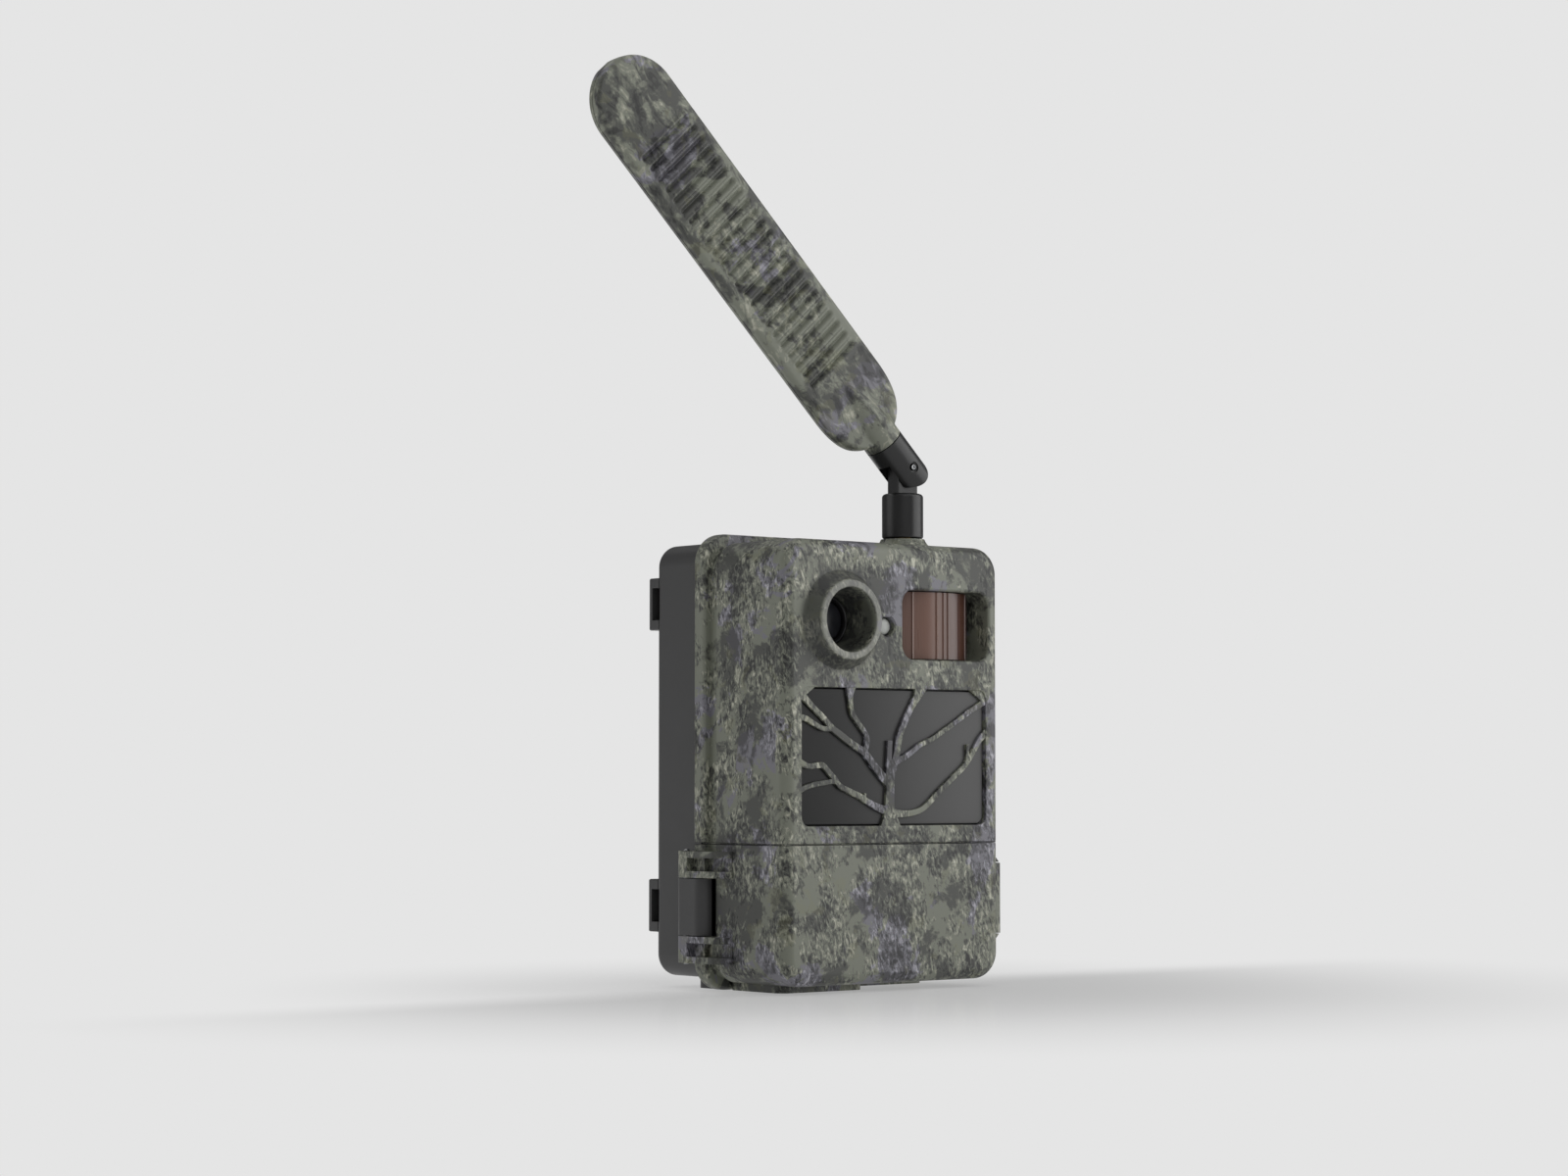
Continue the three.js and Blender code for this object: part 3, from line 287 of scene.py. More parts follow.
class Finish:
    """A node material around one Principled shader."""

    def __init__(self, name, **inputs):
        self.material = bpy.data.materials.new(name)
        self.material.use_nodes = True
        self.tree = self.material.node_tree
        self.shader = self.tree.nodes["Principled BSDF"]
        self.place = self.node("ShaderNodeTexCoord").outputs["Object"]
        for key, value in inputs.items():
            self.shader.inputs[key.replace("_", " ")].default_value = value

    def node(self, kind, **settings):
        made = self.tree.nodes.new(kind)
        for key, value in settings.items():
            setattr(made, key, value)
        return made

    def link(self, source, target):
        self.tree.links.new(source, target)

    def along(self, axis):
        """The piece's own coordinate on one axis, in metres."""
        split = self.node("ShaderNodeSeparateXYZ")
        self.link(self.place, split.inputs["Vector"])
        return split.outputs[axis]

    def stretched(self, scale, turn=(0, 0, 0)):
        """The piece's own coordinates, in metres, turned and then scaled along each axis."""
        turned_by = self.node("ShaderNodeMapping")
        turned_by.inputs["Rotation"].default_value = [math.radians(angle) for angle in turn]
        self.link(self.place, turned_by.inputs["Vector"])
        scaled = self.node("ShaderNodeMapping")
        scaled.inputs["Scale"].default_value = scale
        self.link(turned_by.outputs["Vector"], scaled.inputs["Vector"])
        return scaled.outputs["Vector"]

    def noise(self, size, detail=3, rough=0.5, bend=0.0, where=None, seed=0.0):
        """Noise whose blotches are about size millimetres wide."""
        made = self.node("ShaderNodeTexNoise", noise_dimensions="4D")
        self.link(where or self.place, made.inputs["Vector"])
        made.inputs["W"].default_value = seed
        made.inputs["Scale"].default_value = 1 / (size * MM) if where is None else 1 / size
        made.inputs["Detail"].default_value = detail
        made.inputs["Roughness"].default_value = rough
        made.inputs["Distortion"].default_value = bend
        return made.outputs["Fac"]

    def ramp(self, value, stops, step=False):
        made = self.node("ShaderNodeValToRGB")
        made.color_ramp.interpolation = "CONSTANT" if step else "LINEAR"
        elements = made.color_ramp.elements
        while len(elements) < len(stops):
            elements.new(1)
        for element, (position, colour) in zip(elements, stops):
            element.position = position
            element.color = linear(colour)
        self.link(value, made.inputs["Fac"])
        return made.outputs["Color"]

    def mask(self, value, low, high):
        """0 at low and 1 at high, eased between them; low may be the larger of the two."""
        made = self.node("ShaderNodeMapRange", interpolation_type="SMOOTHSTEP")
        self.link(value, made.inputs["Value"])
        made.inputs["From Min"].default_value = low
        made.inputs["From Max"].default_value = high
        return made.outputs["Result"]

    def maths(self, operation, a, b, clamp=True):
        made = self.node("ShaderNodeMath", operation=operation, use_clamp=clamp)
        for source, socket in ((a, made.inputs[0]), (b, made.inputs[1])):
            if isinstance(source, (int, float)):
                socket.default_value = source
            else:
                self.link(source, socket)
        return made.outputs["Value"]

    def times(self, a, b):
        """The product of two values, held between 0 and 1."""
        return self.maths("MULTIPLY", a, b)

    def vector(self, operation, source, other=(0, 0, 0), output="Vector"):
        made = self.node("ShaderNodeVectorMath", operation=operation)
        self.link(source, made.inputs[0])
        made.inputs[1].default_value = other
        return made.outputs[output]

    def mix(self, share, a, b):
        """Colour a going over to colour b as share goes from 0 to 1."""
        made = self.node("ShaderNodeMix", data_type="RGBA")
        self.link(share, made.inputs[0])
        for source, socket in ((a, made.inputs[6]), (b, made.inputs[7])):
            if isinstance(source, str):
                socket.default_value = linear(source)
            else:
                self.link(source, socket)
        return made.outputs[2]

    def layer(self, share, under, over):
        """Shader under going over to shader over as share goes from 0 to 1."""
        made = self.node("ShaderNodeMixShader")
        for source, socket in zip((share, under.outputs[0], over.outputs[0]), made.inputs):
            self.link(source, socket)
        return made

    def colour(self, source):
        self.link(source, self.shader.inputs["Base Color"])

    def roughness(self, source, low, high):
        made = self.node("ShaderNodeMapRange")
        self.link(source, made.inputs["Value"])
        made.inputs["To Min"].default_value = low
        made.inputs["To Max"].default_value = high
        self.link(made.outputs["Result"], self.shader.inputs["Roughness"])

    def bump(self, source, strength, depth):
        """Relief of depth millimetres."""
        made = self.node("ShaderNodeBump")
        made.inputs["Strength"].default_value = strength
        made.inputs["Distance"].default_value = depth * MM
        self.link(source, made.inputs["Height"])
        self.link(made.outputs["Normal"], self.shader.inputs["Normal"])


SAGE = ("1b1b1a", "2b2c29", "42433f", "52544c", "616359", "73766a", "8b8c7e", "a3a394", "bbbbab")
VIOLET = ("1b1b1d", "2a2a2d", "424145", "515056", "606066", "717077", "8a8991", "a09fa6", "b8b7bd")
TONE_STEPS = (0, 0.34, 0.395, 0.462, 0.495, 0.525, 0.595, 0.65, 0.71)


def camouflage(name, blotch, streak, lean, seed, contrast=1.0, relief=0.07, hood=None):
    """Leaf and bark camouflage film: calm patches broken by short, crisp, nested flecks.

    blotch is the size of the large patches and streak of the flecks, in millimetres; lean is the
    flecks' slant in degrees, contrast their strength and hood the middle of the lens hood."""
    film = Finish(name, Specular_IOR_Level=0.5)
    wide = film.noise(blotch, detail=6, rough=0.62, bend=0.5, seed=seed)
    hue = film.noise(blotch * 1.4, detail=6, rough=0.62, bend=0.5, seed=seed + 3.1)
    along = film.stretched((1 / MM, 1 / MM, 0.45 / MM), turn=(0, lean, 0))
    flecks = film.noise(streak, detail=4, rough=0.62, bend=1.0, where=along, seed=seed + 5.7)
    zones = film.noise(blotch * 0.7, detail=5, rough=0.6, seed=seed + 12.9)

    ground_tone, patch_lift, calm = 0.44, 0.11, 0.12
    patch = film.times(film.mask(wide, 0.455, 0.53), patch_lift)
    busy = film.maths("ADD", film.times(film.mask(zones, 0.42, 0.54), 1.4), calm, clamp=False)
    busy = film.maths("MULTIPLY", busy, contrast, clamp=False)
    fleck = film.maths("SUBTRACT", flecks, 0.5, clamp=False)
    fleck = film.maths("MULTIPLY", fleck, busy, clamp=False)
    ground = film.maths("ADD", patch, ground_tone, clamp=False)
    tone = film.maths("ADD", ground, fleck, clamp=False)
    sage = film.ramp(tone, list(zip(TONE_STEPS, SAGE)), step=True)
    violet = film.ramp(tone, list(zip(TONE_STEPS, VIOLET)), step=True)
    base = film.mix(film.mask(hue, 0.55, 0.556), sage, violet)
    moss = film.mask(film.noise(blotch * 0.5, detail=5, bend=0.6, seed=seed + 20.3), 0.6, 0.61)
    base = film.mix(film.times(moss, 0.16), base, "77774f")
    # Painted shade on the lens hood's cone and in its bore, and a painted highlight on its rim.
    if hood:
        base = hood_painted_light(film, base, hood)
    film.colour(base)
    film.roughness(flecks, 0.36, 0.5)
    film.bump(flecks, 0.3, relief)
    return film.material


def hood_painted_light(film, base, centre):
    """Painted shade down the hood's cone and inside its bore, and a painted highlight on its rim."""
    offset = film.vector("SUBTRACT", film.place, (centre.x * MM, 0, centre.z * MM))
    flat = film.vector("MULTIPLY", offset, (1, 0, 1))
    radius = film.vector("LENGTH", flat, output="Value")

    def between(low, high):
        return film.mask(radius, low * MM, high * MM)

    # Masks for the painted shade on the cone and in the bore, and the painted highlight on the rim.
    cone = film.times(between(17.5, 14.5), between(12.1, 12.5))
    bore = between(9.9, 9.4)
    rim = film.times(between(9.8, 10.1), between(12.3, 12.0))
    # Painted highlight: the rim is lightened towards pale grey; then painted shade: cone and bore go towards
    # near-black.
    painted_rim_highlight = film.mix(film.times(rim, 0.45), base, "8c8c88")
    return film.mix(film.times(film.maths("ADD", cone, bore), 0.62), painted_rim_highlight, "222224")


def moulded(name, code, rough=0.42, grain=0.25, relief=0.02):
    """Moulded plastic with a fine grain and faint clouding."""
    plastic = Finish(name, Specular_IOR_Level=0.5)
    cloud = plastic.noise(9, detail=4, seed=2.0)
    dark = "".join(f"{int(int(code[i:i + 2], 16) * 0.9):02x}" for i in (0, 2, 4))
    plastic.colour(plastic.mix(cloud, code, dark))
    fine = plastic.noise(grain, detail=2, seed=4.0)
    plastic.roughness(plastic.times(fine, cloud), rough - 0.05, rough + 0.2)
    plastic.bump(fine, 0.3, relief)
    return plastic.material


def metal(name, code, rough=0.28):
    """Drawn or turned metal with fine lines along Z."""
    made = Finish(name, Metallic=1.0)
    drawn = made.stretched((1 / MM, 1 / MM, 0.06 / MM))
    lines = made.noise(0.12, detail=2, where=drawn, seed=1.0)
    spots = made.noise(2.2, detail=4, seed=6.0)
    made.colour(made.mix(made.times(spots, 0.6), code, "4a4844"))
    made.roughness(lines, rough - 0.08, rough + 0.14)
    made.bump(lines, 0.2, 0.01)
    return made.material


def circuit_board(name):
    """Green solder mask with traces and pads."""
    board = Finish(name, Roughness=0.35)
    cells = board.node("ShaderNodeTexVoronoi", feature="DISTANCE_TO_EDGE")
    cells.inputs["Scale"].default_value = 1 / (2.6 * MM)
    board.link(board.place, cells.inputs["Vector"])
    traces = board.mask(cells.outputs["Distance"], 0.06, 0.1)
    board.colour(board.mix(traces, "2f6b3d", "1a4527"))
    pads = board.mask(board.noise(1.4, detail=0, seed=8.0), 0.68, 0.7)
    board.roughness(pads, 0.38, 0.25)
    board.bump(traces, 0.3, 0.03)
    return board.material


def motion_film(name):
    """Translucent red-brown lens film, streaked from top to bottom, with painted shading that darkens it to the
    right.
    """
    film = Finish(name, Specular_IOR_Level=0.6, Transmission_Weight=0.12)
    film.shader.inputs["Coat Weight"].default_value = 0.15
    film.shader.inputs["Coat Roughness"].default_value = 0.12
    bands = film.noise(3.2, detail=2, where=film.stretched((1 / MM, 1 / MM, 0.02 / MM)), seed=3.0)
    fine = film.noise(0.5, detail=2, where=film.stretched((1 / MM, 1 / MM, 0.03 / MM)), seed=7.0)
    # Painted shading across the film: lighter at the left, darker to the right.
    turn = film.mask(film.along("X"), PIR_LOW.x * MM, PIR_HIGH.x * MM)
    base = film.ramp(turn, [(0.08, "7d6156"), (0.36, "7a5b4e"), (0.5, "5c3a2a"), (0.8, "40241a")])
    tone = film.mix(film.times(bands, 0.3), base, "8a5b49")
    film.colour(film.mix(film.times(fine, 0.3), tone, "3f2720"))
    film.roughness(fine, 0.22, 0.4)
    film.bump(fine, 0.15, 0.02)
    return film.material


def filter_panel(name):
    """Dark infrared filter: smooth moulding with a faint haze, and a painted reflection that greys it towards the
    right.
    """
    panel = Finish(name, Specular_IOR_Level=0.22)
    haze = panel.noise(16, detail=3, seed=5.0)
    # Painted reflection: the panel greys from near-black at the left to mid grey at the right.
    painted_reflection = panel.mask(panel.along("X"), IR_LOW.x * MM, IR_HIGH.x * MM)
    dark = panel.ramp(haze, [(0.4, "060606"), (0.6, "0a0a0a")])
    panel.colour(panel.mix(painted_reflection, dark, "565656"))
    fine = panel.noise(0.4, detail=2, seed=6.0)
    panel.roughness(fine, 0.28, 0.36)
    panel.bump(fine, 0.1, 0.01)
    return panel.material


def cell_jacket(name):
    """A plain battery jacket, with bare metal at both ends of the cell."""
    jacket = Finish(name, Roughness=0.3)
    length = jacket.along("Y")
    low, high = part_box("battery_1")
    front = jacket.mask(length, low.y + 1.6 * MM, low.y + 1.7 * MM)
    back = jacket.mask(length, high.y - 1.7 * MM, high.y - 1.6 * MM)
    band = jacket.mask(length, low.y + 12 * MM, low.y + 12.2 * MM)
    wrap = jacket.mix(band, "b08a3c", "23392e")
    steel = jacket.maths("SUBTRACT", 1, jacket.maths("SUBTRACT", front, back))
    jacket.colour(jacket.mix(steel, wrap, "9c9c9e"))
    jacket.link(steel, jacket.shader.inputs["Metallic"])
    jacket.roughness(jacket.noise(3, detail=3, seed=2.0), 0.22, 0.38)
    return jacket.material


def glass(name):
    """Coated glass, nearly black and faintly blue, with a soft gloss."""
    made = Finish(name, Roughness=0.3, Specular_IOR_Level=0.35)
    haze = made.noise(5, detail=2, seed=1.0)
    made.colour(made.ramp(haze, [(0.4, "1d1e22"), (0.6, "27282d")]))
    made.roughness(haze, 0.28, 0.36)
    return made.material


CAMO_SHELL = camouflage("camo_shell_film", blotch=15, streak=1.25, lean=14, seed=0.7, hood=LENS)
CAMO_PADDLE = camouflage("camo_paddle_film", blotch=17, streak=3.4, lean=38, seed=4.2,
                         contrast=0.75, relief=0.02)
DARK = moulded("dark_housing_plastic", "3c3c3d", rough=0.36)
BLACK = moulded("black_plastic", "1a1a1b", rough=0.3)
RUBBER = moulded("rubber", "2a2a2a", rough=0.65, grain=0.5, relief=0.04)
SEAL = moulded("seal_silicone", "9b4526", rough=0.6, grain=0.6)
KEY = moulded("key_plastic", "55585a", rough=0.5)
ORANGE = moulded("switch_plastic", "c0531f", rough=0.45)
CARD = moulded("card_plastic", "20242c", rough=0.4)
STEEL = metal("turned_steel", "a9abad")
BRASS = metal("plain_brass", "b58d45")
BOARD = circuit_board("solder_mask")
MOTION = motion_film("motion_lens_film")
PANEL = filter_panel("infrared_filter")
JACKET = cell_jacket("battery_jacket")
GLASS = glass("lens_glass_coated")
DIFFUSER = moulded("light_diffuser", "b5b8b3", rough=0.3, grain=0.6)
DISPLAY = glass("display_glass_cover")


# ------------------------------------------------------------------ front half
def section(shape, y, inset=0.0):
    """One ring of the body at depth y."""
    radius = max(shape["corner"] - inset, 0.8)
    outline = rounded(
        -shape["half"] + inset, shape["half"] - inset,
        shape["bottom"] + inset, shape["top"] - inset, radius, steps=14,
    )
    return [(x, y, z) for x, z in outline]


def quarter(radius, steps):
    """Pairs (inset, advance) round a quarter circle, from a flat face to a side wall."""
    angles = [math.pi / 2 * i / steps for i in range(steps + 1)]
    return [(radius * (1 - math.sin(a)), radius * (1 - math.cos(a))) for a in angles]


def front_half():
    """The outside of shell and door: rounded face, side walls, groove and rear flange."""
    rings = [section(BODY, FACE + advance, inset) for inset, advance in quarter(BODY["edge"], 10)]
    start = FLANGE["front"] - GROOVE["length"]
    rings.append(section(BODY, start - 0.4))
    rings.append(section(BODY, start, 0.3))
    rings.append(section(BODY, start + 0.3, GROOVE["depth"]))
    rings.append(section(BODY, FLANGE["front"] + 0.2, GROOVE["depth"]))
    rim = 1.2
    for inset, advance in quarter(rim, 4):
        rings.append(section(FLANGE, FLANGE["front"] + 0.2 + advance, inset))
    for inset, advance in reversed(quarter(rim, 4)):
        rings.append(section(FLANGE, FLANGE["back"] - advance, inset))
    return loft(rings)


def front_cavity(z0, z1):
    inset = WALL + GROOVE["depth"]
    outline = rounded(-BODY["half"] + inset, BODY["half"] - inset, z0, z1, BODY["corner"] - inset)
    return prism(outline, FACE + WALL + 0.2, FLANGE["back"] + 5, "Y")


# The grille's branches, read one by one: points [x, z, half width] from each root to its tip.
BRANCHES = (
    [[-1.8, 49, 5], [-1.9, 52, 3.4], [-2.1, 55.6, 2], [-1.9, 62, 1.7], [-1.7, 66, 1.7],
     [-0.5, 69, 1.5], [0.8, 73, 1.3], [2.1, 78.6, 1.2], [4.5, 83.2, 1.1], [6.9, 87.2, 1.1],
     [9.6, 91, 1.6], [11, 94.5, 3]],
    [[-2.7, 64, 1.2], [-2, 76.8, 1]],
    [[-2.3, 63.5, 1.5], [-5.5, 66.2, 1.4], [-9.1, 69.8, 1.3], [-12.3, 73.1, 1.2],
     [-17.5, 75.8, 1.1], [-21.8, 78.4, 1.1], [-25.3, 80.5, 1], [-28.8, 83.7, 0.9],
     [-32.3, 86.3, 0.9], [-36.1, 89.5, 1.1], [-39, 91.6, 1.6]],
    [[-25.7, 80.2, 0.8], [-29.2, 80.3, 0.8], [-32.7, 81.9, 0.8], [-35.8, 83.3, 0.9],
     [-39, 83.6, 1]],
    [[-12.3, 73.1, 1], [-11.4, 75.4, 1], [-11.2, 77.6, 0.9], [-12.6, 79.8, 0.9], [-15, 82.4, 0.9],
     [-17.1, 85, 0.9], [-17.8, 88, 0.9], [-18, 90.8, 1.2], [-17.6, 94.5, 2.6]],
    [[1, 70.5, 1.1], [5.3, 72.3, 0.9], [8.2, 74.1, 0.9], [11, 75.7, 0.8], [15.1, 77.2, 0.8],
     [20.4, 80, 0.8], [26.6, 83.4, 0.8], [31.6, 86.3, 0.9], [36.7, 88.8, 1], [39.5, 90.5, 1.2]],
    [[-1, 54.6, 1.4], [4.5, 54.3, 1], [10.2, 55.2, 0.9], [13.9, 57.3, 0.9], [17.6, 60.4, 0.9],
     [21.3, 63.2, 0.9], [25.4, 66.2, 0.9], [29.1, 69, 0.9], [31.6, 71.8, 0.9], [33.7, 74.6, 0.9],
     [35.8, 77.4, 1], [39.5, 80.5, 1.4]],
    [[30.4, 70.6, 0.7], [30.4, 75.8, 0.6]],
    [[-2, 55, 1.5], [-6.7, 56.2, 1.2], [-11.1, 58.1, 1], [-13.9, 59.6, 1], [-18.6, 61.4, 0.9],
     [-22.2, 62.9, 0.9], [-24.1, 65, 0.9], [-26.5, 67.1, 0.9], [-28.8, 69.1, 0.9],
     [-31.1, 69.1, 0.9], [-35, 68.9, 0.9], [-39, 70.6, 1.2]],
    [[-12.6, 58.8, 0.8], [-12, 60.6, 0.4]],
    [[-24.2, 64.4, 0.8], [-28, 63.9, 0.8], [-32.3, 63.3, 0.8], [-36.1, 62.3, 0.8], [-39, 61, 1]],
    [[-32, 94.5, 1.4], [-38.5, 90, 1.4]],
    [[31, 94.6, 1.4], [38.5, 89.8, 1.4]],
)


def smooth_path(points, steps=3):
    """A Catmull-Rom curve through the points."""
    path = [np.array(p, float) for p in points]
    path = [2 * path[0] - path[1]] + path + [2 * path[-1] - path[-2]]
    made = []
    for a, b, c, d in zip(path, path[1:], path[2:], path[3:]):
        for i in range(steps):
            t = i / steps
            made.append(0.5 * (2 * b + (c - a) * t + (2 * a - 5 * b + 4 * c - d) * t ** 2
                               + (3 * b - a - 3 * c + d) * t ** 3))
    return made + [path[-2]]


def branch(points, number):
    """A branch bar in the window, its front edges rounded over, that stands clear of the pane.

    The number sets a small depth offset, so that no two bars' faces are level where they meet."""
    path = smooth_path(points)
    offset = 0.2
    step = 0.012 * number
    front = FACE + offset + step
    back = FACE + PANE - offset + step
    rings = []
    for i, (x, z, half) in enumerate(path):
        ahead = path[min(i + 1, len(path) - 1)][:2] - path[max(i - 1, 0)][:2]
        ahead = ahead / np.linalg.norm(ahead)
        side = np.array([-ahead[1], ahead[0]])
        ring = []
        ease = min(0.24, half * 0.3)
        for across, y in (
            (-half, back), (-half, front + ease), (-half + ease * 0.3, front + ease * 0.3),
            (-half + ease, front), (half - ease, front), (half - ease * 0.3, front + ease * 0.3),
            (half, front + ease), (half, back),
        ):
            ring.append((x + side[0] * across, y, z + side[1] * across))
        rings.append(ring)
    return loft(rings)


def lens_hood():
    """The cone round the lens, with a rolled lip."""
    front, back = SHELL_LOW.y, FACE + WALL + 0.2
    profile = [
        (0, back), (15.6, back), (15.6, FACE + 0.3), (15.2, FACE - 0.15), (14.7, FACE - 0.6),
        (12.7, front + 1.4), (12.3, front + 0.5), (12.0, front + 0.12), (11.7, front), (0, front),
    ]
    return turned(profile, (LENS.x, LENS.z), "Y", 96)


def lens_bore():
    """The bore in the hood, rounded over at its mouth, down to the bezel ring's seat."""
    front = SHELL_LOW.y
    throat = node_box("lens_bezel")[0].y - 0.9
    profile = [
        (0, front - 1), (10.3, front - 1), (10.2, front + 0.02), (10.0, front + 0.15),
        (9.85, front + 0.5), (7.8, throat), (7.8, throat + 4), (0, throat + 4),
    ]
    return turned(profile, (LENS.x, LENS.z), "Y", 96)


def motion_outline(grow):
    """The motion window's outline in the wall, widened by grow."""
    return rounded(
        PIR_LOW.x - GAP - grow, PIR_HIGH.x + GAP + grow, PIR_LOW.z - GAP - grow,
        PIR_HIGH.z + GAP + grow, PIR_CORNER + grow,
    )


def motion_opening(grow, y0, y1):
    return prism(motion_outline(grow), y0, y1, "Y")


def flared_opening():
    """The motion window's rounded-over edge: rings that widen towards the face."""
    rings = []
    for grow, advance in quarter(0.9, 5):
        rings.append([(x, FACE + advance, z) for x, z in motion_outline(grow)])
    ahead = [(x, FACE - 1, z) for x, _, z in rings[0]]
    return loft([ahead] + rings)


def front_shell():
    shell = keep(front_half(), block(-FAR, FAR, -FAR, FAR, SEAM["shell"], FAR))
    inset = WALL + GROOVE["depth"]
    margin = 2.2
    window = rounded(
        IR_LOW.x + margin, IR_HIGH.x - margin, IR_LOW.z + margin, IR_HIGH.z - margin, 3, steps=8
    )
    cut(shell, front_cavity(SEAM["shell"] + WALL, BODY["top"] - inset),
        prism(window, FACE - 2, FACE + 5, "Y"))
    soften(shell, 0.35, 2)
    bars = [branch(points, i) for i, points in enumerate(BRANCHES)]
    lip = 1.2
    seam_lip = block(-BODY["half"] + lip, BODY["half"] - lip, FACE + lip, FLANGE["back"] - lip,
                     SEAM["door"] + 0.08, SEAM["shell"] + 0.5)
    top = BODY["top"]
    boss = turned(
        [(0, top - 2), (8.8, top - 2), (8.8, top), (7.9, top + 0.7), (7.2, top + 1.7),
         (6.9, top + 2.4), (0, top + 2.4)],
        (SWIVEL.x, SWIVEL.y), "Z", 64,
    )
    tube = rod(10, (LENS.x, LENS.z), "Y", FACE + 1, node_box("lens_bezel")[0].y + 1.1, 96)
    join(shell, *bars, lens_hood(), tube, motion_opening(2, FACE + 1, FACE + 11), boss, seam_lip)
    cut(
        shell,
        lens_bore(),
        motion_opening(0, FACE - 2, FACE + 12),
        flared_opening(),
        turned([(0, FACE - 1), (3.6, FACE - 1), (3.4, FACE), (2.95, FACE + 0.5), (2.85, FACE + 5),
                (0, FACE + 5)], (LIGHT.x, LIGHT.z), "Y", 48),
        rod(3.4, (SWIVEL.x, SWIVEL.y), "Z", top - 10, top + 8),
    )
    settle(shell, "shell_upper", "housing", CAMO_SHELL, ["front_shell"])


# ------------------------------------------------------------------ door
def hinge_lug(bottom, top):
    x, y = HINGE.x, HINGE.y
    plan = [
        (x + BARREL, y), (x - BARREL, y), (x - BARREL, -0.6), (x - BARREL + 0.4, -1.8),
        (x + 0.4, -5.4), (x + 1.8, -6), (x + 4, -6), (x + 4, y - 2.6), (x + BARREL, y - 2.6),
    ]
    return prism(plan, bottom, top, "Z"), rod(BARREL, (x, y), "Z", bottom, top)


def lug_pocket(bottom, top):
    """The hollow between a lug's two fins, beside the flange and beside the body."""
    fin = 2.0
    outside, clear = HINGE.x - 4, 0.2
    z0, z1 = bottom + fin, top - fin
    beside_flange = block(outside, -FLANGE["half"] - clear, 4, HINGE.y - 3.2, z0, z1)
    beside_body = block(outside, -BODY["half"] - clear, -7, FLANGE["front"] - 0.6, z0, z1)
    return join(beside_flange, beside_body)


def latch_ears():
    """The rounded bosses above and below the latch, which hold its pin."""
    ear = 2.9
    bottom, top = LATCH_LOW.z, LATCH_HIGH.z
    low = [(0, bottom - ear), (1.2, bottom - ear + 0.1), (2.4, bottom - 1.6), (3.1, bottom - 0.6),
           (3.3, bottom), (0, bottom)]
    high = [(r, bottom + top - z) for r, z in low]
    return (turned(low, (LATCH.x, LATCH.y), "Z", 48),
            turned(high[::-1], (LATCH.x, LATCH.y), "Z", 48))


def front_door():
    door = keep(front_half(), block(-FAR, FAR, -FAR, FAR, -FAR, SEAM["door"]))
    cut(door, front_cavity(BODY["bottom"] + WALL, SEAM["door"] - WALL + 0.3))
    soften(door, 0.35, 2)
    step = rounded(-FOOT["half"], FOOT["step_right"], FOOT["front_step"], FLANGE["front"] + 1, 4)
    wide = rounded(-FOOT["half"], FOOT["half"], FOOT["rear_step"], FLANGE["front"] + 1, 4)
    lugs = [part for span in LUG_SPANS for part in hinge_lug(*span)]
    latch_block = block(38.2, 42.5, LATCH.y - 4, LATCH.y + 5, 12, SEAM["door"] - 1)
    join(door, prism(step, 0, BODY["bottom"] + 1, "Z"), prism(wide, 0, BODY["bottom"] + 1, "Z"),
         *lugs, latch_block, *latch_ears())
    clear = 0.35
    z0, z1 = LATCH_LOW.z - clear, LATCH_HIGH.z + clear
    cut(
        door,
        *[lug_pocket(*span) for span in LUG_SPANS],
        rod(1.25, (HINGE.x, HINGE.y), "Z", -5, FAR),
        rod(10.9, (HINGE.x, HINGE.y), "Z", KNUCKLE[0] - GAP, KNUCKLE[1] + GAP, 96),
        rod(3.6 + clear, (LATCH.x, LATCH.y), "Z", z0, z1, 64),
        block(43.1, FAR, LATCH.y, FAR, z0, z1),
        rod(1.1, (LATCH.x, LATCH.y), "Z", LATCH_LOW.z - 2.2, LATCH_HIGH.z + 2.2, 24),
    )
    settle(door, "door_lower", "door", CAMO_SHELL, ["front_door"])


def door_latch():
    """A curved lever that closes past the housing's catch."""
    x, y = LATCH.x, LATCH.y
    back = LATCH_HIGH.y
    radius = 3.6
    outer = 46.3
    curve = []
    for i in range(9):
        t = i / 8
        curve.append((
            (1 - t) ** 2 * (x + radius) + 2 * t * (1 - t) * (x + radius) + t * t * outer,
            (1 - t) ** 2 * y + 2 * t * (1 - t) * (y + 7) + t * t * (y + 12),
        ))
    plan = [(x - 0.5, y)] + curve + [
        (outer, 12), (outer - 0.3, back), (44, back), (44, back - 1.6), (44.4, back - 1.9),
        (44.4, 12.4), (43.5, 12), (43.5, y + 2),
    ]
    lever = prism(plan, LATCH_LOW.z, LATCH_HIGH.z, "Z")
    join(lever, rod(radius, (x, y), "Z", LATCH_LOW.z, LATCH_HIGH.z))
    soften(lever, 0.3, 2)
    cut(lever, rod(1.1, (x, y), "Z", 0, FAR, 24))
    settle(lever, "latch_lever", "latch", CAMO_SHELL, ["door_latch"])


# ------------------------------------------------------------------ rear housing
def rear_section(y, inset):
    outline = rounded(
        -REAR["half"] + inset, REAR["half"] - inset, REAR["bottom"] + inset, REAR["top"] - inset,
        max(REAR["corner"] - inset, 1), steps=12,
    )
    return [(x, y, z) for x, z in outline]


def strap_lug(centre):
    """A lug for the tree strap and the slot through it, which opens sideways."""
    side = math.copysign(1, centre.x)
    half, height, slot_height, wall, slot = 7, 16.5, 10.2, 1.7, 4.4
    outer = block(centre.x - half, centre.x + half, REAR["back"] - 1, centre.y,
                  centre.z - height / 2, centre.z + height / 2)
    soften(outer, 0.5, 2)
    inner = centre.x - side * (half + 3)
    far = side * FAR
    hole = block(min(inner, far), max(inner, far), centre.y - wall - slot, centre.y - wall,
                 centre.z - slot_height / 2, centre.z + slot_height / 2)
    return outer, hole


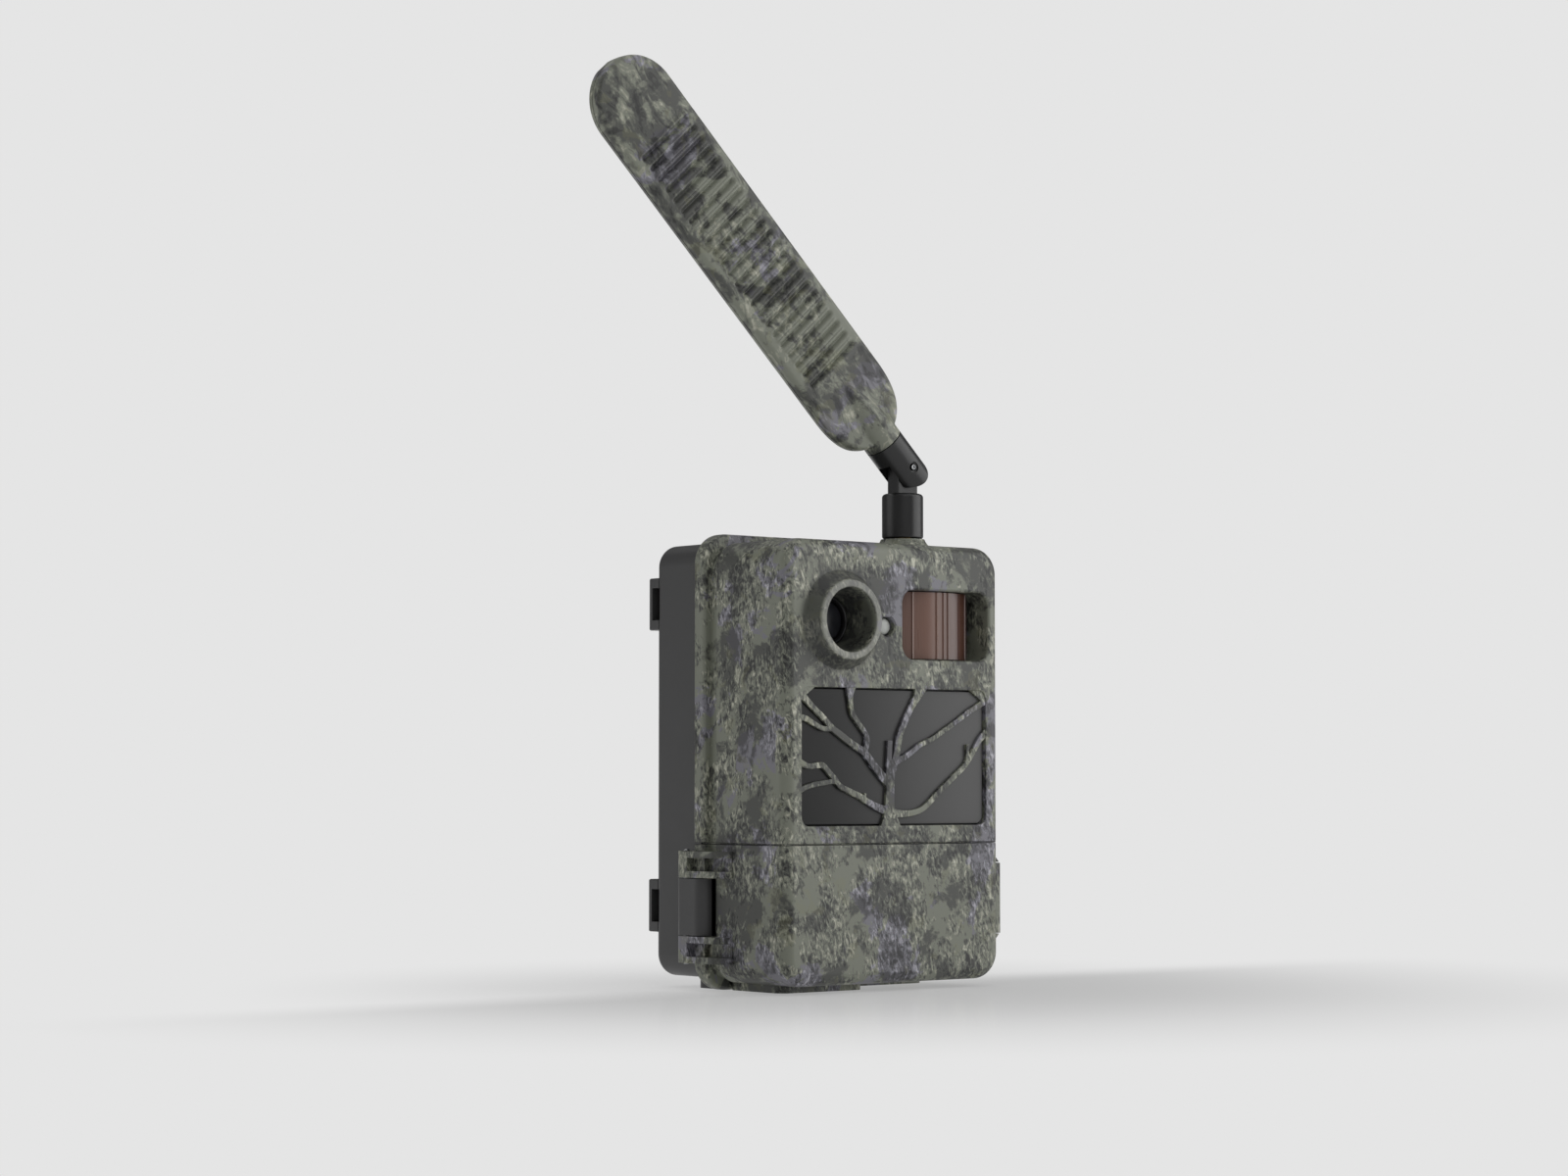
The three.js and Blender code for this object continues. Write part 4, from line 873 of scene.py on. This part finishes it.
def housing_knuckle():
    x, y = HINGE.x, HINGE.y
    bottom, top = KNUCKLE
    nose, front = 4.2, 3.8
    plan = [(x - BARREL, y)] + arc(x - BARREL + nose, front + nose, nose, 180, 270, 12) + [
        (x + 1.9, front), (x + 1.9, REAR["front"]), (x + 5, REAR["front"]),
        (x + 5, y + BARREL), (x, y + BARREL),
    ]
    arm = prism(plan, bottom, top, "Z")
    return arm, rod(BARREL, (x, y), "Z", bottom, top)


def rear_bay(z0, z1, inset, back):
    outline = rounded(-REAR["half"] + inset, REAR["half"] - inset, z0, z1, 1.2, steps=4)
    return prism(outline, REAR["front"] - 2, back, "Y")


def rear_housing():
    edge = 3
    rings = [rear_section(REAR["front"], 0.0)]
    for inset, advance in reversed(quarter(edge, 8)):
        rings.append(rear_section(REAR["back"] - advance, inset))
    housing = loft(rings)
    pad = rounded(-FOOT["half"], FOOT["half"], REAR["front"], FOOT["back"], 4)
    catch = block(REAR["half"] - 1, REAR["half"] + 1.2, 13, 15.5, LATCH_LOW.z + 3, LATCH_HIGH.z - 3)
    lugs = [strap_lug(centre) for centre in LUGS]
    join(housing, prism(pad, 0, REAR["bottom"] + 1, "Z"), *housing_knuckle(), catch,
         *[outer for outer, _ in lugs])
    floor = REAR["back"] - 3
    shelf = REAR["front"] + 1.7
    cut(
        housing,
        rear_bay(SEAM["shell"] + 5, REAR["top"] - 5, 4.6, floor),
        rear_bay(SEAM["shell"] + 2.4, REAR["top"] - 2.6, 2.6, shelf),
        rear_bay(REAR["bottom"] + 4.2, SEAM["door"] - 4, 4.6, floor),
        rear_bay(REAR["bottom"] + 2.4, SEAM["door"] - 2, 2.6, shelf),
    )
    soften(housing, 0.25, 2, angle=50)
    join(housing, *[rod(3.4, (s.x, s.z), "Y", REAR["front"] + 2, REAR["back"] - 1) for s in SCREWS])
    cut(
        housing,
        *[hole for _, hole in lugs],
        rod(1.25, (HINGE.x, HINGE.y), "Z", 0, FAR),
        rod(4.5, (INSERT.x, INSERT.y), "Z", -5, 7),
        rod(4.3, (PLUG.x, PLUG.y), "Z", -5, 7.1),
        *[rod(1.4, (s.x, s.z), "Y", REAR["back"] - 20, REAR["back"] + 1) for s in SCREWS],
        *[rod(2.7, (s.x, s.z), "Y", REAR["back"] - 1.5, REAR["back"] + 1) for s in SCREWS],
    )
    settle(housing, "housing_rear", "housing", DARK, ["rear_housing"])


# ------------------------------------------------------------------ small turned pieces
def chamfered(radius, low, high, edge):
    return [(0, low), (radius - edge, low), (radius, low + edge), (radius, high - edge),
            (radius - edge, high), (0, high)]


def hinge_pins():
    for name, node, radius, body in (
        ("hinge_pin_turned", "door_hinge_pin", 0.9, "housing"),
        ("latch_pin_turned", "latch_pin", 0.8, "door"),
    ):
        low, high = node_box(node)
        centre = node_middle(node)
        pin = turned(chamfered(radius, low.z, high.z, 0.25), (centre.x, centre.y), "Z", 32)
        settle(pin, name, body, STEEL, [node])


def screws():
    """Countersunk heads with a crossed recess."""
    for i, middle in enumerate(SCREWS, start=1):
        low, high = node_box(f"housing_screw_{i}")
        back = high.y
        profile = [
            (0, low.y), (0.5, low.y), (1.1, low.y + 1.2), (1.1, back - 1.6), (1.3, back - 1.2),
            (2.4, back - 0.9), (2.4, back - 0.5), (2.1, back - 0.15), (1.4, back), (0, back),
        ]
        screw = turned(profile, (middle.x, middle.z), "Y", 40)
        slots = []
        for half_x, half_z in ((1.4, 0.28), (0.28, 1.4)):
            slots.append(block(middle.x - half_x, middle.x + half_x, back - 0.7, back + 1,
                               middle.z - half_z, middle.z + half_z))
        cut(screw, *slots)
        settle(screw, f"screw_{i}", "housing", STEEL, [f"housing_screw_{i}"])


def threaded_insert():
    """The tripod insert, with its thread as rings down the bore."""
    low, high = node_box("tripod_insert")
    radius, bore, bottom = 4.2, 3.0, 5.5
    turns = 8
    pitch = (bottom - 0.3 - low.z) / turns
    thread = []
    for i in reversed(range(turns)):
        crest = bottom - 0.3 - i * pitch
        thread += [(bore + 0.3, crest + 0.1 - pitch / 2), (bore, crest)]
    insert = turned(
        [(0, high.z), (radius, high.z), (radius, low.z + 0.2), (radius - 0.2, low.z),
         (bore + 0.5, low.z)] + thread + [(bore, bottom), (0, bottom)],
        (INSERT.x, INSERT.y), "Z", 48,
    )
    settle(insert, "insert_threaded", "housing", BRASS, ["tripod_insert"])


def port_plug():
    """A rubber plug, with a pull tab left between two hollows."""
    low, high = node_box("dc_port_plug")
    plug = turned(chamfered(4, low.z, high.z, 0.5), (PLUG.x, PLUG.y), "Z", 48)
    hollows = []
    for x0, x1 in ((-2.6, -0.5), (0.5, 2.6)):
        hollows.append(block(PLUG.x + x0, PLUG.x + x1, PLUG.y - 2.2, PLUG.y + 2.2,
                             low.z - 1, low.z + 1.2))
    cut(plug, *hollows)
    settle(plug, "port_plug_rubber", "housing", RUBBER, ["dc_port_plug"])


# ------------------------------------------------------------------ optics
def lens_parts():
    centre = (LENS.x, LENS.z)
    low, high = node_box("lens_bezel")
    ring = turned(
        [(6.4, high.y), (7.5, high.y), (7.5, low.y + 0.3), (7.2, low.y), (6.9, low.y),
         (6.6, low.y + 0.25), (6.4, low.y + 0.7), (6.4, high.y)],
        centre, "Y", 96,
    )
    settle(ring, "lens_ring", "housing", BLACK, ["lens_bezel"])
    low, high = node_box("lens_window")
    dome = [(0, low.y)]
    for i in range(1, 9):
        share = i / 8
        dome.append((6 * share, low.y + 0.8 * share ** 2))
    window = turned(dome + [(6, high.y), (0, high.y)], centre, "Y", 96)
    settle(window, "lens_window_domed", "housing", GLASS, ["lens_window"])
    low, high = node_box("light_sensor_window")
    disc = turned(
        [(0, low.y), (1.8, low.y + 0.05), (2.3, low.y + 0.25), (2.55, low.y + 0.6), (2.55, high.y),
         (0, high.y)],
        (LIGHT.x, LIGHT.z), "Y", 48,
    )
    settle(disc, "light_window_domed", "housing", DIFFUSER, ["light_sensor_window"])


def motion_lens():
    """The curved film of the motion sensor, with raised ribs between its lens columns."""
    radius, thickness = 24.0, 1.1
    skin = radius - 0.36  # the film between its ribs, which rise almost to the radius
    middle = (PIR_LOW.x + PIR_HIGH.x) / 2
    half = (PIR_HIGH.x - PIR_LOW.x) / 2
    limit = math.degrees(math.asin(half / radius))
    ribs = (-0.12, 0.02, 0.12, 0.4, -0.55, 0.7)  # their places, as shares of the half width
    rib_height, rib_width = 0.35, 0.012
    count = 240
    outer, inner = [], []
    for i in range(count + 1):
        share = 2 * i / count - 1
        angle = math.radians(-90 + limit * share)
        rise = sum(rib_height * math.exp(-((share - rib) / rib_width) ** 2) for rib in ribs)
        for side, reach in ((outer, skin + rise), (inner, skin - thickness)):
            side.append((middle + reach * math.cos(angle),
                         PIR_LOW.y + radius + reach * math.sin(angle)))
    film = prism(outer + inner[::-1], PIR_LOW.z, PIR_HIGH.z, "Z")
    outline = rounded(PIR_LOW.x, PIR_HIGH.x, PIR_LOW.z, PIR_HIGH.z, PIR_CORNER)
    keep(film, prism(outline, FACE - 1, FACE + 20, "Y"))
    settle(film, "motion_lens_ribbed", "housing", MOTION, ["pir_lens"])


def filter_window():
    """The infrared filter: a plate behind the wall with a pane raised into the window."""
    outline = rounded(IR_LOW.x, IR_HIGH.x, IR_LOW.z, IR_HIGH.z, 4)
    margin = 2.6
    pane = rounded(
        IR_LOW.x + margin, IR_HIGH.x - margin, IR_LOW.z + margin, IR_HIGH.z - margin, 2.6, steps=8
    )
    panel = prism(outline, IR_LOW.y, IR_HIGH.y, "Y")
    join(panel, prism(pane, FACE + PANE, IR_LOW.y + 0.5, "Y"))
    soften(panel, 0.3, 2)
    settle(panel, "infrared_panel", "housing", PANEL, ["ir_window"])


# ------------------------------------------------------------------ antenna
def tilt_frames():
    """The swivel's own frame and the paddle's, as matrices in millimetres."""
    axis = Vector(JOINTS["antenna_tilt"]["axis"])
    turn = math.atan2(axis.x, -axis.y)
    lean = math.radians(-JOINTS["antenna_tilt"]["range_deg"][0])
    base = Matrix.Translation((TILT.x, TILT.y, 0)) @ Matrix.Rotation(turn, 4, "Z")
    paddle = base @ Matrix.Translation((0, 0, TILT.z)) @ Matrix.Rotation(-lean, 4, "Y")
    return base, paddle


BASE_FRAME, PADDLE_FRAME = tilt_frames()
YOKE = {"radius": 6.3, "end": 10.6, "slot": 6.6}
TONGUE = {"half": 3.8, "thickness": 5.8}
NECK = {"start": YOKE["end"] + GAP, "taper_start": 17.0, "end": 36.0, "taper": 3.3}
BLADE = {"half": 14.95, "start": 12.3, "end": 159.6, "foot": 19, "thick": 3.3, "crown": 0.55,
         "split": 0.15, "rim": 1.9}
RIDGES = {"count": 23, "pitch": 4.04, "first": 42.5, "half": 11.4, "depth": 1.05, "width": 0.7}


def antenna_sleeve():
    low, high = SLEEVE_LOW.z, SLEEVE_HIGH.z
    radius = 6.5
    profile = [(5, low), (radius - 0.5, low), (radius - 0.15, low + 0.2), (radius, low + 0.6),
               (radius, high - 1.1), (radius - 0.15, high - 0.6), (radius - 0.5, high - 0.2),
               (radius - 1, high), (5.2, high), (5, high - 0.2), (5, low)]
    sleeve = turned(profile, (0, 0), "Z", 72)
    settle(sleeve, "sleeve_turned", "antenna_base", BLACK, ["antenna_sleeve"],
           BASE_FRAME)


def antenna_stem():
    low = node_box("antenna_stem")[0].z
    top = SLEEVE_HIGH.z
    post = rod(4.2, (0, 0), "Z", low, top - 2, 56)
    half = TONGUE["half"]
    outline = [(-half, top - 3), (half, top - 3)] + arc(0, TILT.z, half, 0, 180, 24)
    tongue = prism(outline, -TONGUE["thickness"] / 2, TONGUE["thickness"] / 2, "Y")
    soften(tongue, 0.35, 2)
    stem = join(post, tongue)
    cut(stem, rod(1.15, (0, TILT.z), "Y", -10, 10))
    settle(stem, "stem_moulded", "antenna_base", BLACK, ["antenna_stem"],
           BASE_FRAME)


def tilt_pin():
    """The pin has a hollow, rolled end on each side."""
    half = 6.0
    front = [(0, -half + 0.5), (0.45, -half + 0.45), (0.55, -half), (0.75, -half),
             (0.85, -half + 0.2)]
    back = [(radius, -y) for radius, y in reversed(front)]
    pin = turned(front + back, (0, TILT.z), "Y", 32)
    settle(pin, "tilt_pin_rolled", "antenna_base", STEEL, ["antenna_pin"], BASE_FRAME)


def antenna_yoke():
    """The paddle's foot, slotted for the stem's tongue and bored for the pin and the lead."""
    radius, end, slot = YOKE["radius"], YOKE["end"], YOKE["slot"]
    yoke = rod(radius, (0, 0), "Z", -8, end, 80)
    outline = [(radius, end + 1), (-radius, end + 1)] + arc(0, 0, radius, 180, 360, 36)
    keep(yoke, prism(outline, -10, 10, "Y"))
    soften(yoke, 0.55, 3)
    opening = [(-9, -9), (9, -9), (9, 0), (6.4, 3.2), (4.5, 4.5), (2.4, 5), (-9, 5.2)]
    cut(
        yoke,
        prism(opening, -slot / 2, slot / 2, "Y"),
        rod(1.15, (0, 0), "Y", -10, 10),
        turned([(0, -10), (1.7, -10), (1.7, -5.7), (1.15, -5.5), (0, -5.5)], (0, 0), "Y", 40),
        rod(1.2, (0, 0), "Z", 0, 30, 24),
    )
    settle(yoke, "yoke_moulded", "antenna_paddle", BLACK, ["antenna_yoke"],
           PADDLE_FRAME)


def blade_half_width(z):
    """Half the paddle's width at height z: a cubic Bezier foot, straight sides and a round top."""
    half, start, end = BLADE["half"], BLADE["start"], BLADE["end"]
    t = np.linspace(0, 1, 400)
    foot_x = 3 * (1 - t) ** 2 * t * half * 0.75 + 3 * (1 - t) * t ** 2 * half + t ** 3 * half
    foot_z = start + 3 * (1 - t) * t ** 2 * 8 + t ** 3 * BLADE["foot"]
    width = np.interp(z, foot_z, foot_x, left=0.0)
    centre = end - half
    over = np.clip((z - centre) / half, 0, 1)
    return np.where(z > centre, half * np.sqrt(1 - over ** 2), width)


def blade_rise(x, z):
    """How far the paddle's face stands out from its middle plane, ribs and grooves included."""
    width = blade_half_width(z)
    inside = np.minimum(width - np.abs(x), np.minimum(BLADE["end"] - z, z - BLADE["start"]))
    rim, bulge = BLADE["rim"], BLADE["crown"]
    part = np.clip(inside / rim, 0, 1)
    rounded_edge = np.sqrt(np.clip(1 - (1 - part) ** 2, 0, 1))
    crown = bulge * (1 - np.clip(np.abs(x) / BLADE["half"], 0, 1) ** 2.2)
    rise = (BLADE["thick"] - bulge - rim + crown) * np.clip(part * 8, 0, 1) + rim * rounded_edge
    spot = (z - RIDGES["first"]) / RIDGES["pitch"]
    nearest = np.clip(np.round(spot), 0, RIDGES["count"] - 1)
    off = (spot - nearest) * RIDGES["pitch"]
    ends = np.clip((RIDGES["half"] - np.abs(x)) / 1.2, 0, 1)
    hollow = RIDGES["depth"] * np.exp(-(off / RIDGES["width"]) ** 2)
    ridge = 0.3 * np.exp(-((off - 1.5) / 0.6) ** 2) + 0.12 * np.exp(-((off + 1.5) / 0.6) ** 2)
    return rise - (hollow - ridge) * ends * (3 - 2 * ends) * ends


def neck_radius(z):
    """The round neck that carries the paddle: even near the yoke, then tapering to its end."""
    even, end = NECK["taper_start"], NECK["end"]
    tapered = YOKE["radius"] - NECK["taper"] * (z - even) / (end - even)
    radius = np.where(z < even, YOKE["radius"], tapered)
    return np.where((z >= NECK["start"]) & (z <= end), radius, 0.0)


def neck_rise(x, z):
    return np.sqrt(np.clip(neck_radius(z) ** 2 - x ** 2, 0, None))


def blade_half(side, name, node):
    """One half of the paddle as two height fields over its outline; side is -1 at the front."""
    start, end, half, foot = BLADE["start"], BLADE["end"], BLADE["half"], BLADE["foot"]
    rows = np.concatenate([
        np.linspace(NECK["start"], start - 0.02, 3),
        start + foot * np.linspace(0, 1, 60) ** 2.2,
        np.linspace(start + foot, end - half, 460)[1:],
        end - half * (1 - np.sin(np.linspace(0, math.pi / 2 - 0.02, 50)))[1:],
    ])
    widths = np.maximum(blade_half_width(rows), neck_radius(rows))
    count = 72
    across = np.sin(np.linspace(-math.pi / 2, math.pi / 2, count + 1))
    x = widths[:, None] * across[None, :]
    z = np.repeat(rows[:, None], count + 1, axis=1)
    split = BLADE["split"]
    rise = np.maximum(np.maximum(blade_rise(x, z), neck_rise(x, z)), split + 0.05)
    hollow_start, hollow_depth, wall = 24, 1.4, 3
    inside = np.minimum(widths[:, None] - np.abs(x), np.minimum(end - z, z - hollow_start))
    pocket = split + hollow_depth * np.clip((inside - wall) / 0.6, 0, 1)
    outer = np.stack([x, side * rise, z], axis=-1).reshape(-1, 3)
    inner = np.stack([x, side * np.minimum(pocket, rise - 0.03), z], axis=-1).reshape(-1, 3)
    wide = count + 1
    total = len(rows) * wide
    faces = []
    for i in range(len(rows) - 1):
        for j in range(count):
            a = i * wide + j
            faces.append([a, a + 1, a + wide + 1, a + wide])
            faces.append([total + a, total + a + wide, total + a + wide + 1, total + a + 1])
    border = list(range(wide))
    border += [i * wide + count for i in range(1, len(rows))]
    border += [(len(rows) - 1) * wide + j for j in range(count - 1, -1, -1)]
    border += [i * wide for i in range(len(rows) - 2, 0, -1)]
    for a, b in zip(border, border[1:] + border[:1]):
        faces.append([a, total + a, total + b, b])
    blade = new_piece(name, np.concatenate([outer, inner]), faces)
    settle(blade, name, "antenna_paddle", CAMO_PADDLE, [node], PADDLE_FRAME)


# ------------------------------------------------------------------ CAD pieces that stay
def carried_over():
    """CAD nodes whose shape is right: they get eased edges and a material."""
    finishes = {
        "housing_gasket": SEAL, "door_gasket": SEAL, "lens_barrel": BLACK,
        "image_sensor_board": BOARD, "pir_sensor": STEEL, "pir_board": BOARD, "ir_led_board": BOARD,
        "main_board": BOARD, "lte_module": STEEL, "antenna_jack": BRASS, "antenna_coax": RUBBER,
        "battery_tray": BLACK, "tray_contacts": STEEL, "housing_contacts": STEEL,
        "control_panel": BLACK, "display": DISPLAY, "power_switch": ORANGE, "sd_card": CARD,
        "antenna_element": BRASS,
    }
    finishes.update({f"battery_{i}": JACKET for i in range(1, 9)})
    finishes.update({f"button_{name}": KEY for name in ("menu", "down", "up", "ok")})
    for node, finish in finishes.items():
        piece = frame["nodes"][node]
        piece.data.materials.clear()
        piece.data.materials.append(finish)
        weld = piece.modifiers.new("weld", "WELD")
        weld.merge_threshold = 0.005 * MM
        if node == "antenna_coax":
            continue
        flat = piece.modifiers.new("flat", "DECIMATE")
        flat.decimate_type = "DISSOLVE"
        flat.angle_limit = math.radians(1)
        bevel = piece.modifiers.new("edges", "BEVEL")
        bevel.width = 0.12 * MM
        bevel.segments = 2
        bevel.limit_method = "ANGLE"
        bevel.angle_limit = math.radians(40)


# ------------------------------------------------------------------ stage
BACKDROP = "e5e5e5"
FILL = 0.18  # how much of the backdrop's seen brightness lights the part


def stage():
    """A pale floor, glossy in front of the part, that fades with distance into the backdrop."""
    size = 6.0
    mesh = bpy.data.meshes.new("floor")
    mesh.from_pydata([(-size, -size, 0), (size, -size, 0), (size, size, 0), (-size, size, 0)], [],
                     [(0, 1, 2, 3)])
    floor = bpy.data.objects.new("floor", mesh)
    bpy.context.scene.collection.objects.link(floor)
    floor.location.z = -0.0001
    paint = Finish("floor_paint", Roughness=1.0, Specular_IOR_Level=0.0)
    paint.shader.inputs["Base Color"].default_value = linear("f0f0f0")
    distance = paint.vector("LENGTH", paint.place, output="Value")
    glow = paint.node("ShaderNodeEmission")
    glow.inputs["Color"].default_value = linear(BACKDROP)
    near_glow = 0.58  # the glow's share at the part's foot; far away it is all glow
    far = paint.times(paint.mask(distance, 0.06, 0.2), 1 - near_glow)
    ground = paint.layer(paint.maths("ADD", far, near_glow), paint.shader, glow)
    gloss = paint.node("ShaderNodeBsdfGlossy")
    gloss.inputs["Roughness"].default_value = 0.12
    polish = 0.3  # the gloss's share, in front of the part only
    fading = paint.times(paint.mask(distance, 0.08, 0.3), polish)
    shine = paint.times(paint.maths("SUBTRACT", polish, fading),
                        paint.mask(paint.along("Y"), 0.03, -0.02))
    whole = paint.layer(shine, ground, gloss)
    paint.link(whole.outputs[0], paint.tree.nodes["Material Output"].inputs["Surface"])
    mesh.materials.append(paint.material)


def area_light(name, place, size, power):
    """A rectangular light that faces the middle of the part."""
    data = bpy.data.lights.new(name, "AREA")
    data.shape = "RECTANGLE"
    data.size, data.size_y = size
    data.energy = power
    light = bpy.data.objects.new(name, data)
    light.location = place
    facing = Vector((0, 0, 0.11)) - Vector(place)
    light.rotation_euler = facing.to_track_quat("-Z", "Y").to_euler()
    bpy.context.scene.collection.objects.link(light)


def lights():
    world = bpy.data.worlds.new("studio")
    world.use_nodes = True
    tree = world.node_tree
    back = tree.nodes["Background"]
    back.inputs["Color"].default_value = linear(BACKDROP)
    seen = tree.nodes.new("ShaderNodeLightPath")
    strength = tree.nodes.new("ShaderNodeMapRange")
    strength.inputs["To Min"].default_value = FILL
    tree.links.new(seen.outputs["Is Camera Ray"], strength.inputs["Value"])
    tree.links.new(strength.outputs["Result"], back.inputs["Strength"])
    bpy.context.scene.world = world
    area_light("side_left", (-0.75, 0.42, 0.42), (0.6, 1.2), 1.7)
    area_light("side_right", (0.72, -0.62, 0.34), (1.0, 1.2), 6.8)
    area_light("front", (-0.35, -1.0, 0.75), (1.0, 0.9), 2.4)
    area_light("top", (0.05, 0.1, 0.85), (1.0, 1.0), 2.6)


def camera():
    """The photograph's view, matched to it by overlay."""
    data = bpy.data.cameras.new("photo_view")
    data.lens = 78.75
    data.sensor_width = 36
    view = bpy.data.objects.new("photo_view", data)
    view.location = (-0.6996, -0.8256, 0.0644)
    view.rotation_euler = (math.radians(93.22), 0, math.radians(-39.5))
    bpy.context.scene.collection.objects.link(view)
    bpy.context.scene.camera = view
    bpy.context.scene.view_settings.view_transform = "Standard"


# ------------------------------------------------------------------ build
camera()
lights()
stage()
front_shell()
front_door()
door_latch()
rear_housing()
hinge_pins()
screws()
threaded_insert()
port_plug()
lens_parts()
motion_lens()
filter_window()
antenna_sleeve()
antenna_stem()
tilt_pin()
antenna_yoke()
blade_half(-1, "blade_front_half", "antenna_blade_front")
blade_half(1, "blade_back_half", "antenna_blade_back")
carried_over()
